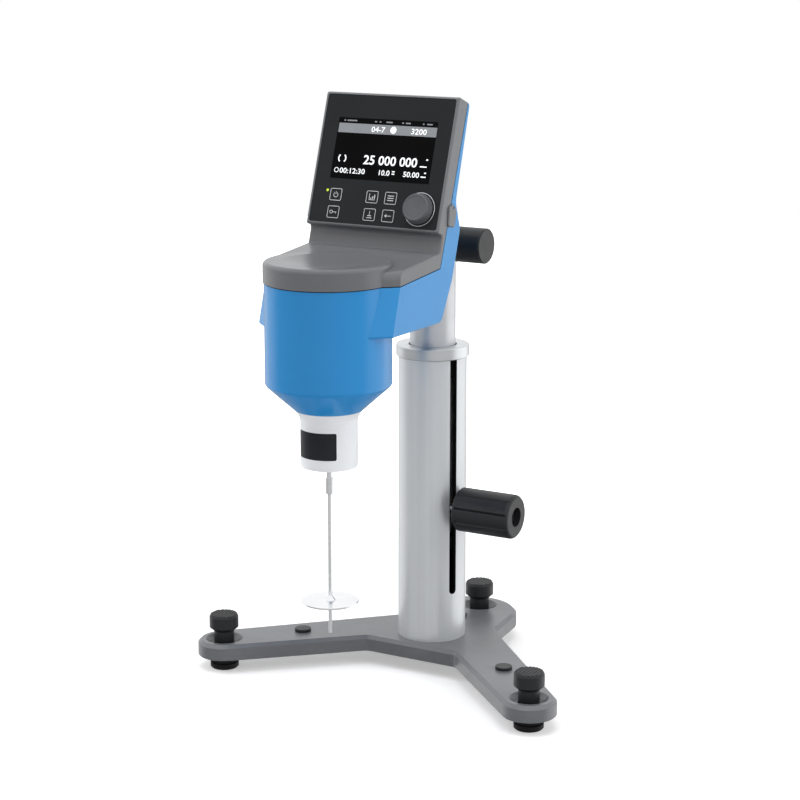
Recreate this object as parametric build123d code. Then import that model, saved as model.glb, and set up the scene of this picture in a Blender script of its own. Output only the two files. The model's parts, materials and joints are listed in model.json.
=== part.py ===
from build123d import *
import math
import os

# Rotational viscometer on a rack-and-pinion stand.  Millimetres, +Z up.
# Everything is modelled about the stand's column (x = y = 0, bench at z = 0, the head
# towards -Y) and moved at the end so that the origin is the middle of the footprint.

# ---- fits ------------------------------------------------------------------------
running = 0.05            # radial clearance of a shaft that turns in its bore
seated = 0.03             # radial clearance of a piece that is fixed in its seat
free = 0.3                # gap between pieces that pass each other
stop_gap = 0.7            # room that a moving piece keeps before it would touch

# ---- base plate ------------------------------------------------------------------
foot_side_x = 151.9       # front feet, left and right of the column
foot_side_y = -107.6
foot_back_y = 91.3        # back foot, behind the column
plate_bottom = 12.2
plate_top = 26.5
plate_bevel = 3.0
plate_front_y = -39.0     # straight front edge between the two front arms
front_crotch_x = 44.5
back_crotch = (47.0, 35.0)
arm_end_r = 23.2
back_lobe_y = 75.0
back_lobe_r = 42.0
crotch_r = 9.0
dish_r = 16.6             # conical dish round each levelling screw
dish_depth = 4.6
dish_floor_r = 12.5
foot_travel = 4.5         # how far a levelling screw can be screwed down

# ---- levelling feet --------------------------------------------------------------
pad_r = 12.6
pad_neck_r = 8.0          # short neck that meets the plate's underside
pad_edge = 1.2
pad_disc_t = 5.1
pad_groove_r = 10.6
pad_groove_t = 1.5
pad_flange_t = 3.0
foot_screw_r = 4.0
foot_insert_r = 6.5
foot_knob_r = 12.85
foot_knob_neck_r = 8.9
foot_knob_top = 49.4
foot_knob_band = 2.4      # height of the bevelled rim above the gripping band
foot_knob_body_z = 37.4   # lower end of the gripping band
foot_neck_z = 34.0        # where the cone meets the neck
foot_knob_bevel = 1.3
foot_ridges = 9
foot_ridge_depth = 0.45

# ---- plugs in the plate ------------------------------------------------------------
plug_r = 7.3
plug_proud = 2.8
plug_stem_r = 5.0
plug_stem_len = 7.0
plug_places = ((-101.7, -55.8), (101.7, -55.8), (0.0, 51.2))

# ---- column ------------------------------------------------------------------------
column_r = 30.0
column_wall = 3.0
collar_r = 32.0
collar_bottom = 280.8
collar_top = 291.0
collar_bore_r = 21.1
collar_bevel = 0.6
column_top = 284.0
slot_w = 6.8
slot_bottom = 69.4
plug_in_column = 14.0     # height of the turned plug in the column's foot
column_bolt_pcd = 36.0
column_bolt_r = 3.0
column_bolt_head_r = 5.0
column_bolt_head_t = 6.0
column_bolt_grip = 9.0
bush_len = 16.0

# ---- inner tube --------------------------------------------------------------------
tube_r = 20.0
tube_wall = 2.2
tube_bottom = 110.0
lift_down = 68.0          # travel of the inner tube below the height shown
ring_len = 12.0
key_w = 14.0
key_t = 1.0
key_top = 279.0

# ---- rack and pinion ---------------------------------------------------------------
module = 1.0
pinion_teeth = 12
pressure_deg = 20.0
profile_shift = 0.3       # of the module, keeps the small pinion free of undercut
backlash = 0.14
pinion_y = -11.75
pinion_z = 148.5
pinion_half_len = 5.5
pinion_shaft_r = 3.0
rack_half_w = 5.0
rack_back = 9.0           # bar behind the tooth roots
bush_outer_r = 5.4
bush_out = 19.6           # outer end of the near bush, inside the column's bore
shaft_end = 18.5          # far end of the pinion's shaft from the middle plane

# ---- height knob -------------------------------------------------------------------
knob_in = 35.75
knob_out = 89.7
knob_r = 19.25
knob_flutes = 9
knob_flute_first = -6.0   # degrees from the top, towards the front
knob_flute_depth = 1.1
knob_flute_w = 2.8
knob_hub_in = 31.2        # the hub reaches towards the column
knob_hub_r = 7.6
knob_round = 3.6
knob_hole_r = 8.4
knob_hole_depth = 18.0
knob_screw_face = 5.5     # how far the socket screw's face lies inside the hole
knob_hex = 9.2            # across flats

# ---- clamp for the head's rod ------------------------------------------------------
rod_z = 380.2
rod_r = 6.0
clamp_r = 21.0
clamp_above = 18.3        # the block above and below the rod's axis
clamp_below = 17.7
clamp_spigot = 17.0
clamp_knob_in = 22.6
clamp_knob_out = 52.5
clamp_knob_r = 15.2
clamp_knob_bevel = 0.9
clamp_screw_r = 4.0
shoe_r = 5.0
shoe_t = 4.0

# ---- head: outer form --------------------------------------------------------------
spindle_y = -172.2
head_half_w = 63.2
head_wall = 3.2
display_tilt = 18.3
bezel_bottom_y = -105.1
bezel_bottom_z = 404.9
bezel_h = 113.2
bezel_step = 8.0          # how far the neck lies behind the bezel
wing_front_y = -165.9
wing_low_y = -178.0
wing_bottom = 330.9
wing_sweep = 42.0         # degrees: the wings' fronts run forwards to the pot
wing_sweep_len = 18.0
wing_in_pot = 23.0        # the prism's end inside the pot, before the spindle's axis
wing_toe_r = 1.6
deck_front_z = 382.3
neck_y = -102.0
neck_z = 388.1
rear_bottom_y = -98.2
seam_z = 370.6
seam_gap = 1.1
seam_corner = (-101.3, 376.2)
seam_top = (-55.6, 506.5)
pot_r = 51.5
pot_bottom = 287.0
pot_round = 4.0           # between the pot and its cone
cone_r = 28.1
cone_bottom = 266.0
lid_r = 52.2
lid_top = 387.5
lid_round = 3.4
dish_top_r = 37.0         # shallow dish in the round deck
dish_top_depth = 3.0
edge_round = 1.4

# ---- head: nose, drive and sensor ----------------------------------------------------
nose_r = 23.5
nose_bottom = 218.5
nose_flare_z = 256.5
nose_round = 1.4
nose_spigot_r = 24.5
shell_floor_t = 6.0
bearing_r = 11.0
bearing_bore = 4.0
bearing_t = 7.0
nose_floor_t = 3.5
bearing_span = 36.0
chassis_ring_r = 29.5
chassis_t = 3.0
motor_plate_z = 318.0
motor_plate_r = 38.0
motor_side = 42.0
motor_h = 36.0
post_r = 3.0
post_ring_r = 26.0
drive_disc_r = 17.0
drive_disc_z = 300.0
spring_z = 293.0
spring_turns = 4.0
shaft_top = 297.0
stub_r = 2.4
sensor_r = 22.0

# ---- spindle ---------------------------------------------------------------------------
spindle_tip = 75.8
spindle_len = 133.0
spindle_r = 1.6
disc_r = 23.46
disc_t = 1.6
disc_above_tip = 27.0
hub_r = 4.4
hub_half_h = 4.5
mark_above_tip = 49.5
coupling_r = 3.3
coupling_len = 13.7

# ---- operating panel ------------------------------------------------------------------
foil_margin = 2.4         # bezel left showing round the foil
foil_t = 1.2
foil_sunk = 0.3
screen_w = 94.2
screen_h = 51.6
screen_v = 65.5
screen_rim = 2.0          # the module's rim behind the wall
key_cols = (-38.7, -3.75, 13.9)
key_rows = (26.0, 11.2)
key_size = (11.1, 10.2)
key_round = 1.3
key_gap = 0.15
key_cap_t = 0.7
key_stem_r = 1.9
menu_from_side = 20.8     # menu knob's axis from the casing's side
menu_v = 18.6
menu_r = 12.6
menu_face_r = 11.3
menu_proud = 8.2
menu_gap = 1.0
menu_shaft_r = 3.0
board_margin = 6.6        # the board's edge from the bezel's ends
board_t = 1.6
board_depth = 9.4         # front of the circuit board behind the bezel's face
cover_boss_r = 3.5
cover_boss_in = 7.6       # boss axis from the casing's side
cover_boss_end = 9.4      # and from the bezel's ends
standoff_r = 2.5
cover_screw_len = 12.0
cover_screw_r = 2.0
cover_screw_head_r = 3.6
cover_screw_head_t = 2.4

# ---- rear of the head ----------------------------------------------------------------
boss_r = 17.0
boss_face_y = -69.0
boss_depth = 23.0
rod_grip = 16.5
rod_flange_r = 11.0
rod_flange_t = 4.0
rod_end_y = 27.0
bay_x = (-56.0, -24.0)
bay_z = (343.0, 371.0)
bay_floor_y = -97.0
bay_wall = 3.0
dc_r = 7.0
dc_hollow_r = 5.0
dc_hollow_depth = 8.0
port_bay_x = (24.0, 56.0)
usb_w = 12.0
usb_h = 10.8
serial_w = 24.0
serial_h = 9.0
cover_tab = ((-90.2, 408.6, 2.0), (-88.8, 424.3, 3.0), (-82.2, 426.6, 3.0), (-76.2, 420.8, 3.0), (-79.4, 407.2, 2.0))
cover_tab_proud = 1.6
cover_tab_sunk = 1.2
cover_tab_bevel = 0.7
cover_tab_notch = 3.6

# ---- worked out from the values above ----------------------------------------------
tilt = math.radians(display_tilt)
footprint_front = spindle_y - lid_r
footprint_back = back_lobe_y + back_lobe_r
frame_shift = -(footprint_front + footprint_back) / 2
foot_places = {
    "left": (-foot_side_x, foot_side_y),
    "right": (foot_side_x, foot_side_y),
    "back": (0.0, foot_back_y),
}
dish_floor = plate_top - dish_depth
well_floor = dish_floor - foot_travel
foot_knob_bottom = dish_floor + stop_gap
pad_height = pad_disc_t + pad_groove_t + pad_flange_t
column_bore = column_r - column_wall
tube_bore = tube_r - tube_wall
tube_top = rod_z - clamp_below
clamp_top = rod_z + clamp_above
rack_top = tube_top - clamp_spigot - lift_down - 2 * stop_gap
pitch_r = module * pinion_teeth / 2
rack_pitch_y = pinion_y + pitch_r + profile_shift * module
bezel_top_y = bezel_bottom_y + bezel_h * math.sin(tilt)
bezel_top_z = bezel_bottom_z + bezel_h * math.cos(tilt)
panel = Plane(
    origin=(0, bezel_bottom_y, bezel_bottom_z),
    x_dir=(1, 0, 0),
    z_dir=(0, -math.cos(tilt), math.sin(tilt)),
)
spindle_top = spindle_tip + spindle_len
recess_floor = foil_sunk + foil_t
foil_half_w = head_half_w - foil_margin
foil_h = bezel_h - 2 * foil_margin
panel_mid_v = bezel_h / 2
menu_u = head_half_w - menu_from_side
cover_boss_u = head_half_w - cover_boss_in
cover_boss_v = (cover_boss_end, bezel_h - cover_boss_end)
board_w = 2 * (cover_boss_u - cover_boss_r - free)
board_h = bezel_h - 2 * board_margin

nodes = {}


# ---- plain shapes ---------------------------------------------------------------------
def box(x0, x1, y0, y1, z0, z1):
    """A block between two corners."""
    middle = Pos((x0 + x1) / 2, (y0 + y1) / 2, (z0 + z1) / 2)
    return middle * Box(x1 - x0, y1 - y0, z1 - z0)


def post(x, y, z0, z1, r):
    """An upright cylinder."""
    return Pos(x, y, (z0 + z1) / 2) * Cylinder(r, z1 - z0)


def bar_x(y, z, x0, x1, r):
    """A cylinder along X."""
    return Pos((x0 + x1) / 2, y, z) * Rot(0, 90, 0) * Cylinder(r, x1 - x0)


def bar_y(x, z, y0, y1, r):
    """A cylinder along Y."""
    return Pos(x, (y0 + y1) / 2, z) * Rot(90, 0, 0) * Cylinder(r, y1 - y0)


def turned(points, x=0.0, y=0.0):
    """A body turned about an upright axis from its half section of (radius, height)."""
    half = Plane.XZ * make_face(Polyline(*points, close=True))
    return Pos(x, y, 0) * revolve(half, Axis.Z)


def turned_x(points, y, z):
    """A body turned about an axis along X from (radius, x) points."""
    half = make_face(Polyline(*[(x, r) for r, x in points], close=True))
    return Pos(0, y, z) * revolve(half, Axis.X)


def on_panel(u, v, w, shape):
    """Puts a shape on the tilted panel: u to the right, v up the slope, w outwards."""
    return panel * Pos(u, v, w) * shape


def panel_block(u, v, w0, w1, width, height, r=0.0):
    """A block on the panel between depths w0 and w1, its upright corners rounded by r."""
    outline = RectangleRounded(width, height, r) if r else Rectangle(width, height)
    return on_panel(u, v, w0, extrude(outline, amount=w1 - w0))


def panel_disc(u, v, w0, w1, r):
    """A cylinder on the panel between depths w0 and w1."""
    return on_panel(u, v, (w0 + w1) / 2, Cylinder(r, w1 - w0))


# ---- outlines with rounded corners ----------------------------------------------------
def rounded_outline(corners):
    """A closed face through (a, b, radius) corners, each turned by an arc tangent to both sides."""
    count = len(corners)
    sides = []
    starts = []
    ends = []
    for i in range(count):
        here = Vector(*corners[i][:2])
        back = (Vector(*corners[i - 1][:2]) - here).normalized()
        ahead = (Vector(*corners[(i + 1) % count][:2]) - here).normalized()
        r = corners[i][2]
        half_angle = math.radians(back.get_angle(ahead)) / 2
        reach = r / math.tan(half_angle)
        starts.append(here + back * reach)
        ends.append(here + ahead * reach)
        if r > 0:
            to_middle = (back + ahead).normalized()
            middle = here + to_middle * (r / math.sin(half_angle) - r)
            sides.append(ThreePointArc(starts[i], middle, ends[i]))
    for i in range(count):
        if (starts[(i + 1) % count] - ends[i]).length > 1e-6:
            sides.append(Line(ends[i], starts[(i + 1) % count]))
    return make_face(sides)


def inset(corners, d):
    """The corners of a clockwise outline moved inwards by d, their radii changed to suit."""
    count = len(corners)
    moved = []
    for i in range(count):
        ax, ay = corners[i - 1][:2]
        bx, by, r = corners[i]
        cx, cy = corners[(i + 1) % count][:2]
        n1 = Vector(by - ay, ax - bx).normalized()
        n2 = Vector(cy - by, bx - cx).normalized()
        turn = n1.X * n2.Y - n1.Y * n2.X
        across = (n1 + n2).normalized()
        step = d / across.dot(n1)
        new_r = (max(r - d, 0.0) if turn < 0 else r + d) if r > 0 else 0.0
        moved.append((bx + across.X * step, by + across.Y * step, new_r))
    return moved


# ---- stand: plate, feet, column ---------------------------------------------------------
def plate_outline():
    """A Y: two long front arms tangent to their end circles, a broad short lobe behind."""
    front = Vector(front_crotch_x, plate_front_y)
    back = Vector(*back_crotch)
    hub = make_face(
        Polyline(front, back, (-back.X, back.Y), (-front.X, front.Y), close=True)
    )
    end = (Pos(foot_side_x, foot_side_y) * Circle(arm_end_r)).edge()
    arm = make_hull([end, Line(front, back)])
    lobe_end = (Pos(0, back_lobe_y) * Circle(back_lobe_r)).edge()
    lobe = make_hull([lobe_end, Line((-back.X, back.Y), back)])
    outline = hub + arm + mirror(arm, Plane.YZ) + lobe
    inner = [
        v for v in outline.vertices()
        if (Vector(abs(v.X), v.Y) - front).length < 1 or (Vector(abs(v.X), v.Y) - back).length < 1
    ]
    return fillet(inner, crotch_r)


def make_base_plate():
    """The painted plate with bevelled top edge, dishes with a well for each knob, and holes."""
    plate = Pos(0, 0, plate_bottom) * extrude(plate_outline(), amount=plate_top - plate_bottom)
    plate = chamfer(plate.faces().sort_by(Axis.Z)[-1].edges(), plate_bevel)
    plate = chamfer(plate.faces().sort_by(Axis.Z)[0].edges(), 0.8)
    for x, y in foot_places.values():
        dish = [(0, dish_floor), (dish_floor_r, dish_floor), (dish_r, plate_top + free), (0, plate_top + free)]
        plate -= turned(dish, x, y)
        plate -= post(x, y, well_floor, plate_top, foot_knob_neck_r + stop_gap)
        plate -= post(x, y, plate_bottom, plate_top, foot_insert_r + seated)
    for x, y in plug_places:
        plate -= post(x, y, plate_top - plug_stem_len - stop_gap, plate_top + 1, plug_stem_r + seated)
    for x, y in bolt_places():
        plate -= post(x, y, plate_bottom - 1, plate_top + 1, column_bolt_r + running)
        plate -= post(x, y, plate_bottom - 1, plate_bottom + column_bolt_head_t + free, column_bolt_head_r + free)
    return plate


def bolt_places():
    """Three bolts in a circle up into the column's plug."""
    r = column_bolt_pcd / 2
    angles = [math.radians(90 + 120 * i) for i in range(3)]
    return [(r * math.cos(a), r * math.sin(a)) for a in angles]


def make_column_bolts():
    """Cap screws with hexagon sockets, heads up inside the plate's underside."""
    head_z = plate_bottom + free
    shank_z = head_z + column_bolt_head_t
    bolts = []
    for x, y in bolt_places():
        bolt = post(x, y, head_z, shank_z, column_bolt_head_r)
        bolt += post(x, y, shank_z, plate_top + column_bolt_grip, column_bolt_r)
        socket = extrude(RegularPolygon(column_bolt_r, 6), amount=column_bolt_head_t / 2)
        bolts.append(bolt - Pos(x, y, head_z) * socket)
    return Compound(bolts)


def make_column_plug():
    """The turned plug that centres the column and holds the rack's foot."""
    plug = post(0, 0, plate_top, plate_top + plug_in_column, column_bore - seated)
    plug = chamfer(plug.edges().sort_by(Axis.Z)[-1], 1.0)
    pocket_y0 = rack_root_y() - seated
    plug -= box(-rack_half_w - seated, rack_half_w + seated, pocket_y0, rack_back_y() + seated,
                rack_foot_z(), plate_top + plug_in_column + 1)
    for x, y in bolt_places():
        plug -= post(x, y, plate_top - 1, plate_top + column_bolt_grip + free, column_bolt_r + running)
    return plug


def make_outer_column():
    """The tube with its long slot, round at the lower end, for the height knob's sleeve."""
    tube = post(0, 0, plate_top, column_top, column_r) - post(0, 0, plate_top - 1, column_top + 1, column_bore)
    half = slot_w / 2
    reach = column_r + 5
    tube -= bar_x(pinion_y, slot_bottom + half, tube_r / 2, reach, half)
    tube -= box(tube_r / 2, reach, pinion_y - half, pinion_y + half, slot_bottom + half, column_top + 1)
    return tube


def make_collar():
    """The cap on the column: a rim over the wall and a bore round the inner tube."""
    collar = post(0, 0, collar_bottom, collar_top, collar_r)
    collar = chamfer(collar.edges().filter_by(GeomType.CIRCLE), collar_bevel)
    collar -= post(0, 0, collar_bottom - 1, column_top, column_r + seated)
    collar += post(0, 0, collar_bottom, column_top, column_bore - seated)
    collar -= post(0, 0, collar_bottom - 1, collar_top + 1, collar_bore_r)
    return chamfer(collar.edges().group_by(Axis.Z)[-1].sort_by(SortBy.LENGTH)[0], collar_bevel)


def key_zone(z0, z1, extra):
    """The space on the tube's surface that faces the slot, with a clearance added."""
    side = key_w / 2 + extra
    across = Pos(0, 0, (z0 + z1) / 2) * Rot(0, 0, key_angle()) * Pos(tube_r, 0, 0)
    return across * Box(2 * (key_t + extra + 2), 2 * side, z1 - z0)


def key_angle():
    """Direction from the column's axis to the middle of the slot, in degrees."""
    return math.degrees(math.asin(pinion_y / tube_r))


def make_guide_bush():
    """The plastic bush under the collar, with a keyway for the strip on the tube."""
    z0 = collar_bottom - bush_len
    bush = post(0, 0, z0, collar_bottom, column_bore - seated)
    bush -= post(0, 0, z0 - 1, collar_bottom + 1, tube_r + running)
    return bush - key_zone(z0 - 1, collar_bottom + 1, free)


def make_foot_inserts():
    """Brass threaded bushes in the arms."""
    inserts = []
    for x, y in foot_places.values():
        body = post(x, y, plate_bottom, well_floor, foot_insert_r)
        inserts.append(body - post(x, y, plate_bottom - 1, plate_top, foot_screw_r + running))
    return Compound(inserts)


def make_plate_plugs():
    """Round push-in plugs with a slightly bevelled edge."""
    plugs = []
    for x, y in plug_places:
        head = post(x, y, plate_top, plate_top + plug_proud, plug_r)
        head = chamfer(head.edges().sort_by(Axis.Z)[-1], 0.5)
        plugs.append(head + post(x, y, plate_top - plug_stem_len, plate_top, plug_stem_r))
    return Compound(plugs)


def make_foot_pad(x, y):
    """The rubber pad: disc, groove, flange and neck, with the screw's blind socket."""
    r = pad_r
    neck_top = plate_bottom - running
    z1 = pad_disc_t
    z2 = z1 + pad_groove_t
    section = [(0, 0), (r - pad_edge, 0), (r, pad_edge), (r, z1), (pad_groove_r, z1), (pad_groove_r, z2),
               (r, z2), (r, pad_height - pad_edge / 2), (r - pad_edge / 2, pad_height),
               (pad_neck_r, pad_height), (pad_neck_r, neck_top), (0, neck_top)]
    return turned(section, x, y) - post(x, y, pad_disc_t - 1, plate_bottom, foot_screw_r + running)


def make_foot_knob(x, y):
    """The knob moulded on its screw: ridged top, plain gripping band, cone and neck."""
    band_top = foot_knob_top - foot_knob_band
    section = [(0, foot_knob_bottom), (foot_knob_neck_r, foot_knob_bottom), (foot_knob_neck_r, foot_neck_z),
               (foot_knob_r, foot_knob_body_z), (foot_knob_r, band_top),
               (foot_knob_r - foot_knob_bevel, foot_knob_top), (0, foot_knob_top)]
    knob = turned(section)
    pitch = 2 * foot_knob_r / foot_ridges
    for i in range(foot_ridges):
        across = (i - (foot_ridges - 1) / 2) * pitch
        knob -= box(across - pitch / 4, across + pitch / 4, -foot_knob_r, foot_knob_r,
                    foot_knob_top - foot_ridge_depth, foot_knob_top + 1)
    knob += post(0, 0, pad_disc_t - 1 + free, foot_knob_bottom, foot_screw_r)
    return Pos(x, y, 0) * knob


# ---- rack and pinion ----------------------------------------------------------------------
def rack_root_y():
    """The rack's tooth roots, facing the pinion."""
    return rack_pitch_y + 1.25 * module


def rack_back_y():
    """The plain back of the rack bar."""
    return rack_root_y() + rack_back


def rack_foot_z():
    """The rack's lower end in the plug's pocket."""
    return plate_top + plug_in_column / 4


def make_rack():
    """A square bar with straight-sided teeth cut along its front, in mesh with the pinion."""
    bar = box(-rack_half_w, rack_half_w, rack_root_y(), rack_back_y(), rack_foot_z(), rack_top)
    pitch = math.pi * module
    slope = math.tan(math.radians(pressure_deg))
    half = pitch / 4 - backlash / 4
    tip_half = half - slope * module
    root_half = half + slope * 1.25 * module
    tip_y = rack_pitch_y - module
    lowest = math.ceil((plate_top + plug_in_column + 2 - pinion_z) / pitch)
    highest = math.floor((rack_top - 2 - pinion_z) / pitch)
    tooth = make_face(
        Polyline((tip_y, -tip_half), (tip_y, tip_half), (rack_root_y(), root_half),
                 (rack_root_y() + 0.2, root_half), (rack_root_y() + 0.2, -root_half),
                 (rack_root_y(), -root_half), close=True)
    )
    solid_tooth = extrude(Plane.YZ * tooth, amount=rack_half_w, both=True)
    teeth = [Pos(0, 0, pinion_z + i * pitch) * solid_tooth for i in range(lowest, highest)]
    return bar + teeth


def involute(base, radius):
    """Polar angle of the involute of a base circle where it reaches a radius."""
    if radius <= base:
        return 0.0
    roll = math.sqrt((radius / base) ** 2 - 1)
    return roll - math.atan(roll)


def pinion_face():
    """Involute teeth: a gap faces the rack's tooth at +Y, flanks drawn as splines."""
    alpha = math.radians(pressure_deg)
    base = pitch_r * math.cos(alpha)
    outer = pitch_r + (1 + profile_shift) * module
    root = pitch_r - (1.25 - profile_shift) * module
    thick = math.pi * module / 2 + 2 * profile_shift * module * math.tan(alpha) - backlash / 2
    half_at_pitch = thick / (2 * pitch_r)
    start = max(base, root)
    radii = [start + (outer - start) * i / 4 for i in range(5)]
    at_pitch = involute(base, pitch_r)
    face = Circle(root)
    step = 2 * math.pi / pinion_teeth
    for i in range(pinion_teeth):
        middle = (i + 0.5) * step + math.pi / 2
        left = []
        right = []
        for r in radii:
            half = half_at_pitch + at_pitch - involute(base, r)
            left.append((r * math.cos(middle + half), r * math.sin(middle + half)))
            right.append((r * math.cos(middle - half), r * math.sin(middle - half)))
        sink = root * 0.9
        half = half_at_pitch + at_pitch
        foot_left = (sink * math.cos(middle + half), sink * math.sin(middle + half))
        foot_right = (sink * math.cos(middle - half), sink * math.sin(middle - half))
        tooth = make_face([
            Line(foot_right, right[0]),
            Spline(*right),
            Line(right[-1], left[-1]),
            Spline(*left[::-1]),
            Line(left[0], foot_left),
            Line(foot_left, foot_right),
        ])
        face += tooth
    return face


def make_pinion():
    """The toothed part and its shaft, from the far bush to the knob."""
    toothed = Plane.YZ * pinion_face()
    pinion = extrude(toothed, amount=pinion_half_len, both=True)
    pinion += bar_x(0, 0, -shaft_end, knob_out - knob_hole_depth, pinion_shaft_r)
    pinion += bar_x(0, 0, -bush_inner_x() + free, -pinion_half_len, pinion_shaft_r + 1)
    pinion -= bar_x(0, 0, knob_out - knob_hole_depth - 16, knob_out, knob_thread_r() + seated)
    return Pos(0, pinion_y, pinion_z) * pinion


def bush_inner_x():
    """Inner end of the far bush, clear of the teeth."""
    return pinion_half_len + 2.5


def knob_thread_r():
    """Thread of the knob's socket screw."""
    return pinion_shaft_r - 1.0


def make_pinion_bush():
    """The bronze bush in the tube's far wall."""
    bush = bar_x(pinion_y, pinion_z, -shaft_end - free, -bush_inner_x(), bush_outer_r)
    return bush - bar_x(pinion_y, pinion_z, -tube_r, 0, pinion_shaft_r + running)


def make_pinion_housing():
    """The long bush in the tube's near wall that carries the shaft beside the slot."""
    bush = bar_x(pinion_y, pinion_z, bush_inner_x(), bush_out, bush_outer_r)
    bush = chamfer(bush.edges().sort_by(Axis.X)[-1], 0.5)
    return bush - bar_x(pinion_y, pinion_z, 0, tube_r + 1, pinion_shaft_r + running)


def make_inner_tube():
    """The lifting tube, with a window for the pinion and cross holes for its bearings."""
    tube = post(0, 0, tube_bottom, tube_top, tube_r) - post(0, 0, tube_bottom - 1, tube_top + 1, tube_bore)
    window = pitch_r + 2.5 * module
    tube -= box(-pinion_half_len - 1, pinion_half_len + 1, -tube_r - 1, pinion_y,
                pinion_z - window, pinion_z + window)
    return tube - bar_x(pinion_y, pinion_z, -tube_r, tube_r, bush_outer_r + seated)


def make_key_strips():
    """Black key strips on the tube above and below the bush; they run behind the slot."""
    gap = bush_outer_r + free
    skin = post(0, 0, tube_bottom, key_top, tube_r + key_t) - post(0, 0, 0, key_top + 1, tube_r + seated)
    lower = skin & key_zone(tube_bottom + ring_len + free, pinion_z - gap, 0)
    upper = skin & key_zone(pinion_z + gap, key_top, 0)
    return Compound([lower.solid(), upper.solid()])


def make_tube_ring():
    """The plastic ring at the tube's lower end, running in the column."""
    ring = post(0, 0, tube_bottom, tube_bottom + ring_len, column_bore - 2 * running)
    ring = chamfer(ring.edges().filter_by(GeomType.CIRCLE), 0.5)
    return ring - post(0, 0, tube_bottom - 1, tube_bottom + ring_len + 1, tube_r + seated)


def make_height_knob():
    """The fluted knob, rounded at its outer end, with the hole for its socket screw."""
    length = knob_out - knob_in
    knob = turned_x([(0, knob_in), (knob_r - 1, knob_in), (knob_r, knob_in + 1), (knob_r, knob_out), (0, knob_out)], 0, 0)
    knob = fillet(knob.edges().filter_by(GeomType.CIRCLE).sort_by(Axis.X)[-1], knob_round)
    flute = Rot(45, 0, 0) * Box(length + 2, knob_flute_w / math.sqrt(2), knob_flute_w / math.sqrt(2))
    lift = knob_r + knob_flute_w / 2 - knob_flute_depth
    for i in range(knob_flutes):
        turn = knob_flute_first + 360 * i / knob_flutes
        knob -= Rot(turn, 0, 0) * Pos((knob_in + knob_out) / 2 + knob_round, 0, lift) * flute
    knob += bar_x(0, 0, knob_hub_in, knob_in, knob_hub_r)
    knob -= bar_x(0, 0, knob_hub_in - 1, knob_out - knob_hole_depth, pinion_shaft_r + seated)
    knob -= bar_x(0, 0, knob_out - knob_hole_depth, knob_out + 1, knob_hole_r)
    return Pos(0, pinion_y, pinion_z) * knob


def make_knob_screw():
    """The socket screw that draws the knob on to its shaft and sets its friction."""
    face = knob_out - knob_screw_face
    seat = knob_out - knob_hole_depth
    screw = bar_x(0, 0, seat, face, knob_hole_r - free)
    screw = chamfer(screw.edges().sort_by(Axis.X)[-1], 0.8)
    screw += bar_x(0, 0, seat - 12, seat, knob_thread_r())
    hexagon = Plane.YZ * RegularPolygon(knob_hex / 2, 6, major_radius=False)
    screw -= Pos(face - 8, 0, 0) * extrude(hexagon, amount=9)
    return Pos(0, pinion_y, pinion_z) * screw


# ---- clamp ---------------------------------------------------------------------------------
def make_clamp_block():
    """The turned block on the tube: spigot below, cross bore for the rod, bore for the screw."""
    block = post(0, 0, tube_top, clamp_top, clamp_r)
    block = chamfer(block.edges().filter_by(GeomType.CIRCLE).sort_by(Axis.Z)[-1], 1.5)
    block += post(0, 0, tube_top - clamp_spigot, tube_top, tube_bore - seated)
    block -= bar_y(0, rod_z, -clamp_r - 1, clamp_r + 1, rod_r + running)
    block -= bar_x(0, rod_z, 0, clamp_r + 1, shoe_r + running)
    return block


def shoe_in():
    """The face of the shoe that bears on the rod."""
    return rod_r + 0.1


def make_clamp_shoe():
    """The brass shoe between the screw and the rod; it slides and doesn't turn."""
    return bar_x(0, rod_z, shoe_in(), shoe_in() + shoe_t, shoe_r)


def make_clamp_screw():
    """The clamp's threaded pin, from the shoe into the knob."""
    return bar_x(0, rod_z, shoe_in() + shoe_t + running, clamp_knob_in + 14, clamp_screw_r)


def make_clamp_knob():
    """The plain cylindrical clamp knob with a recessed end cap."""
    knob = bar_x(0, rod_z, clamp_knob_in, clamp_knob_out, clamp_knob_r)
    knob = chamfer(knob.edges().filter_by(GeomType.CIRCLE), clamp_knob_bevel)
    return knob - bar_x(0, rod_z, 0, clamp_knob_in + 14, clamp_screw_r + seated)


# ---- head: casings ---------------------------------------------------------------------------
def head_side():
    """Clockwise side view of the whole head as (y, z, radius), front foot of the wing first."""
    back = Vector(math.cos(tilt), -math.sin(tilt)) * bezel_step
    return [
        (wing_low_y, wing_bottom, wing_toe_r),
        (wing_front_y, seam_z, 0.0),
        (wing_front_y, deck_front_z, 8.0),
        (neck_y, neck_z, 1.5),
        (bezel_bottom_y + back.X, bezel_bottom_z + back.Y, 3.0),
        (bezel_bottom_y, bezel_bottom_z, 1.8),
        (bezel_top_y, bezel_top_z, 2.6),
        (-51.2, 505.4, 4.0),
        (-74.6, 427.0, 16.0),
        (-66.6, 405.0, 12.0),
        (-79.6, 365.0, 40.0),
        (rear_bottom_y, wing_bottom, 8.0),
    ]


def side_face(d):
    """The side view as a face, moved inwards by d."""
    return rounded_outline(inset(head_side(), d)) if d else rounded_outline(head_side())


def long_side_face(d):
    """The side view with its front run forwards into the pot."""
    corners = inset(head_side(), d) if d else head_side()
    toe, deck, neck = corners[0], corners[2], corners[3]
    y = spindle_y - wing_in_pot
    climb = (neck[1] - deck[1]) / (neck[0] - deck[0])
    return rounded_outline([(y, toe[1], 0.0), (y, deck[1] + climb * (y - deck[0]), 0.0), *corners[3:]])


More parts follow.
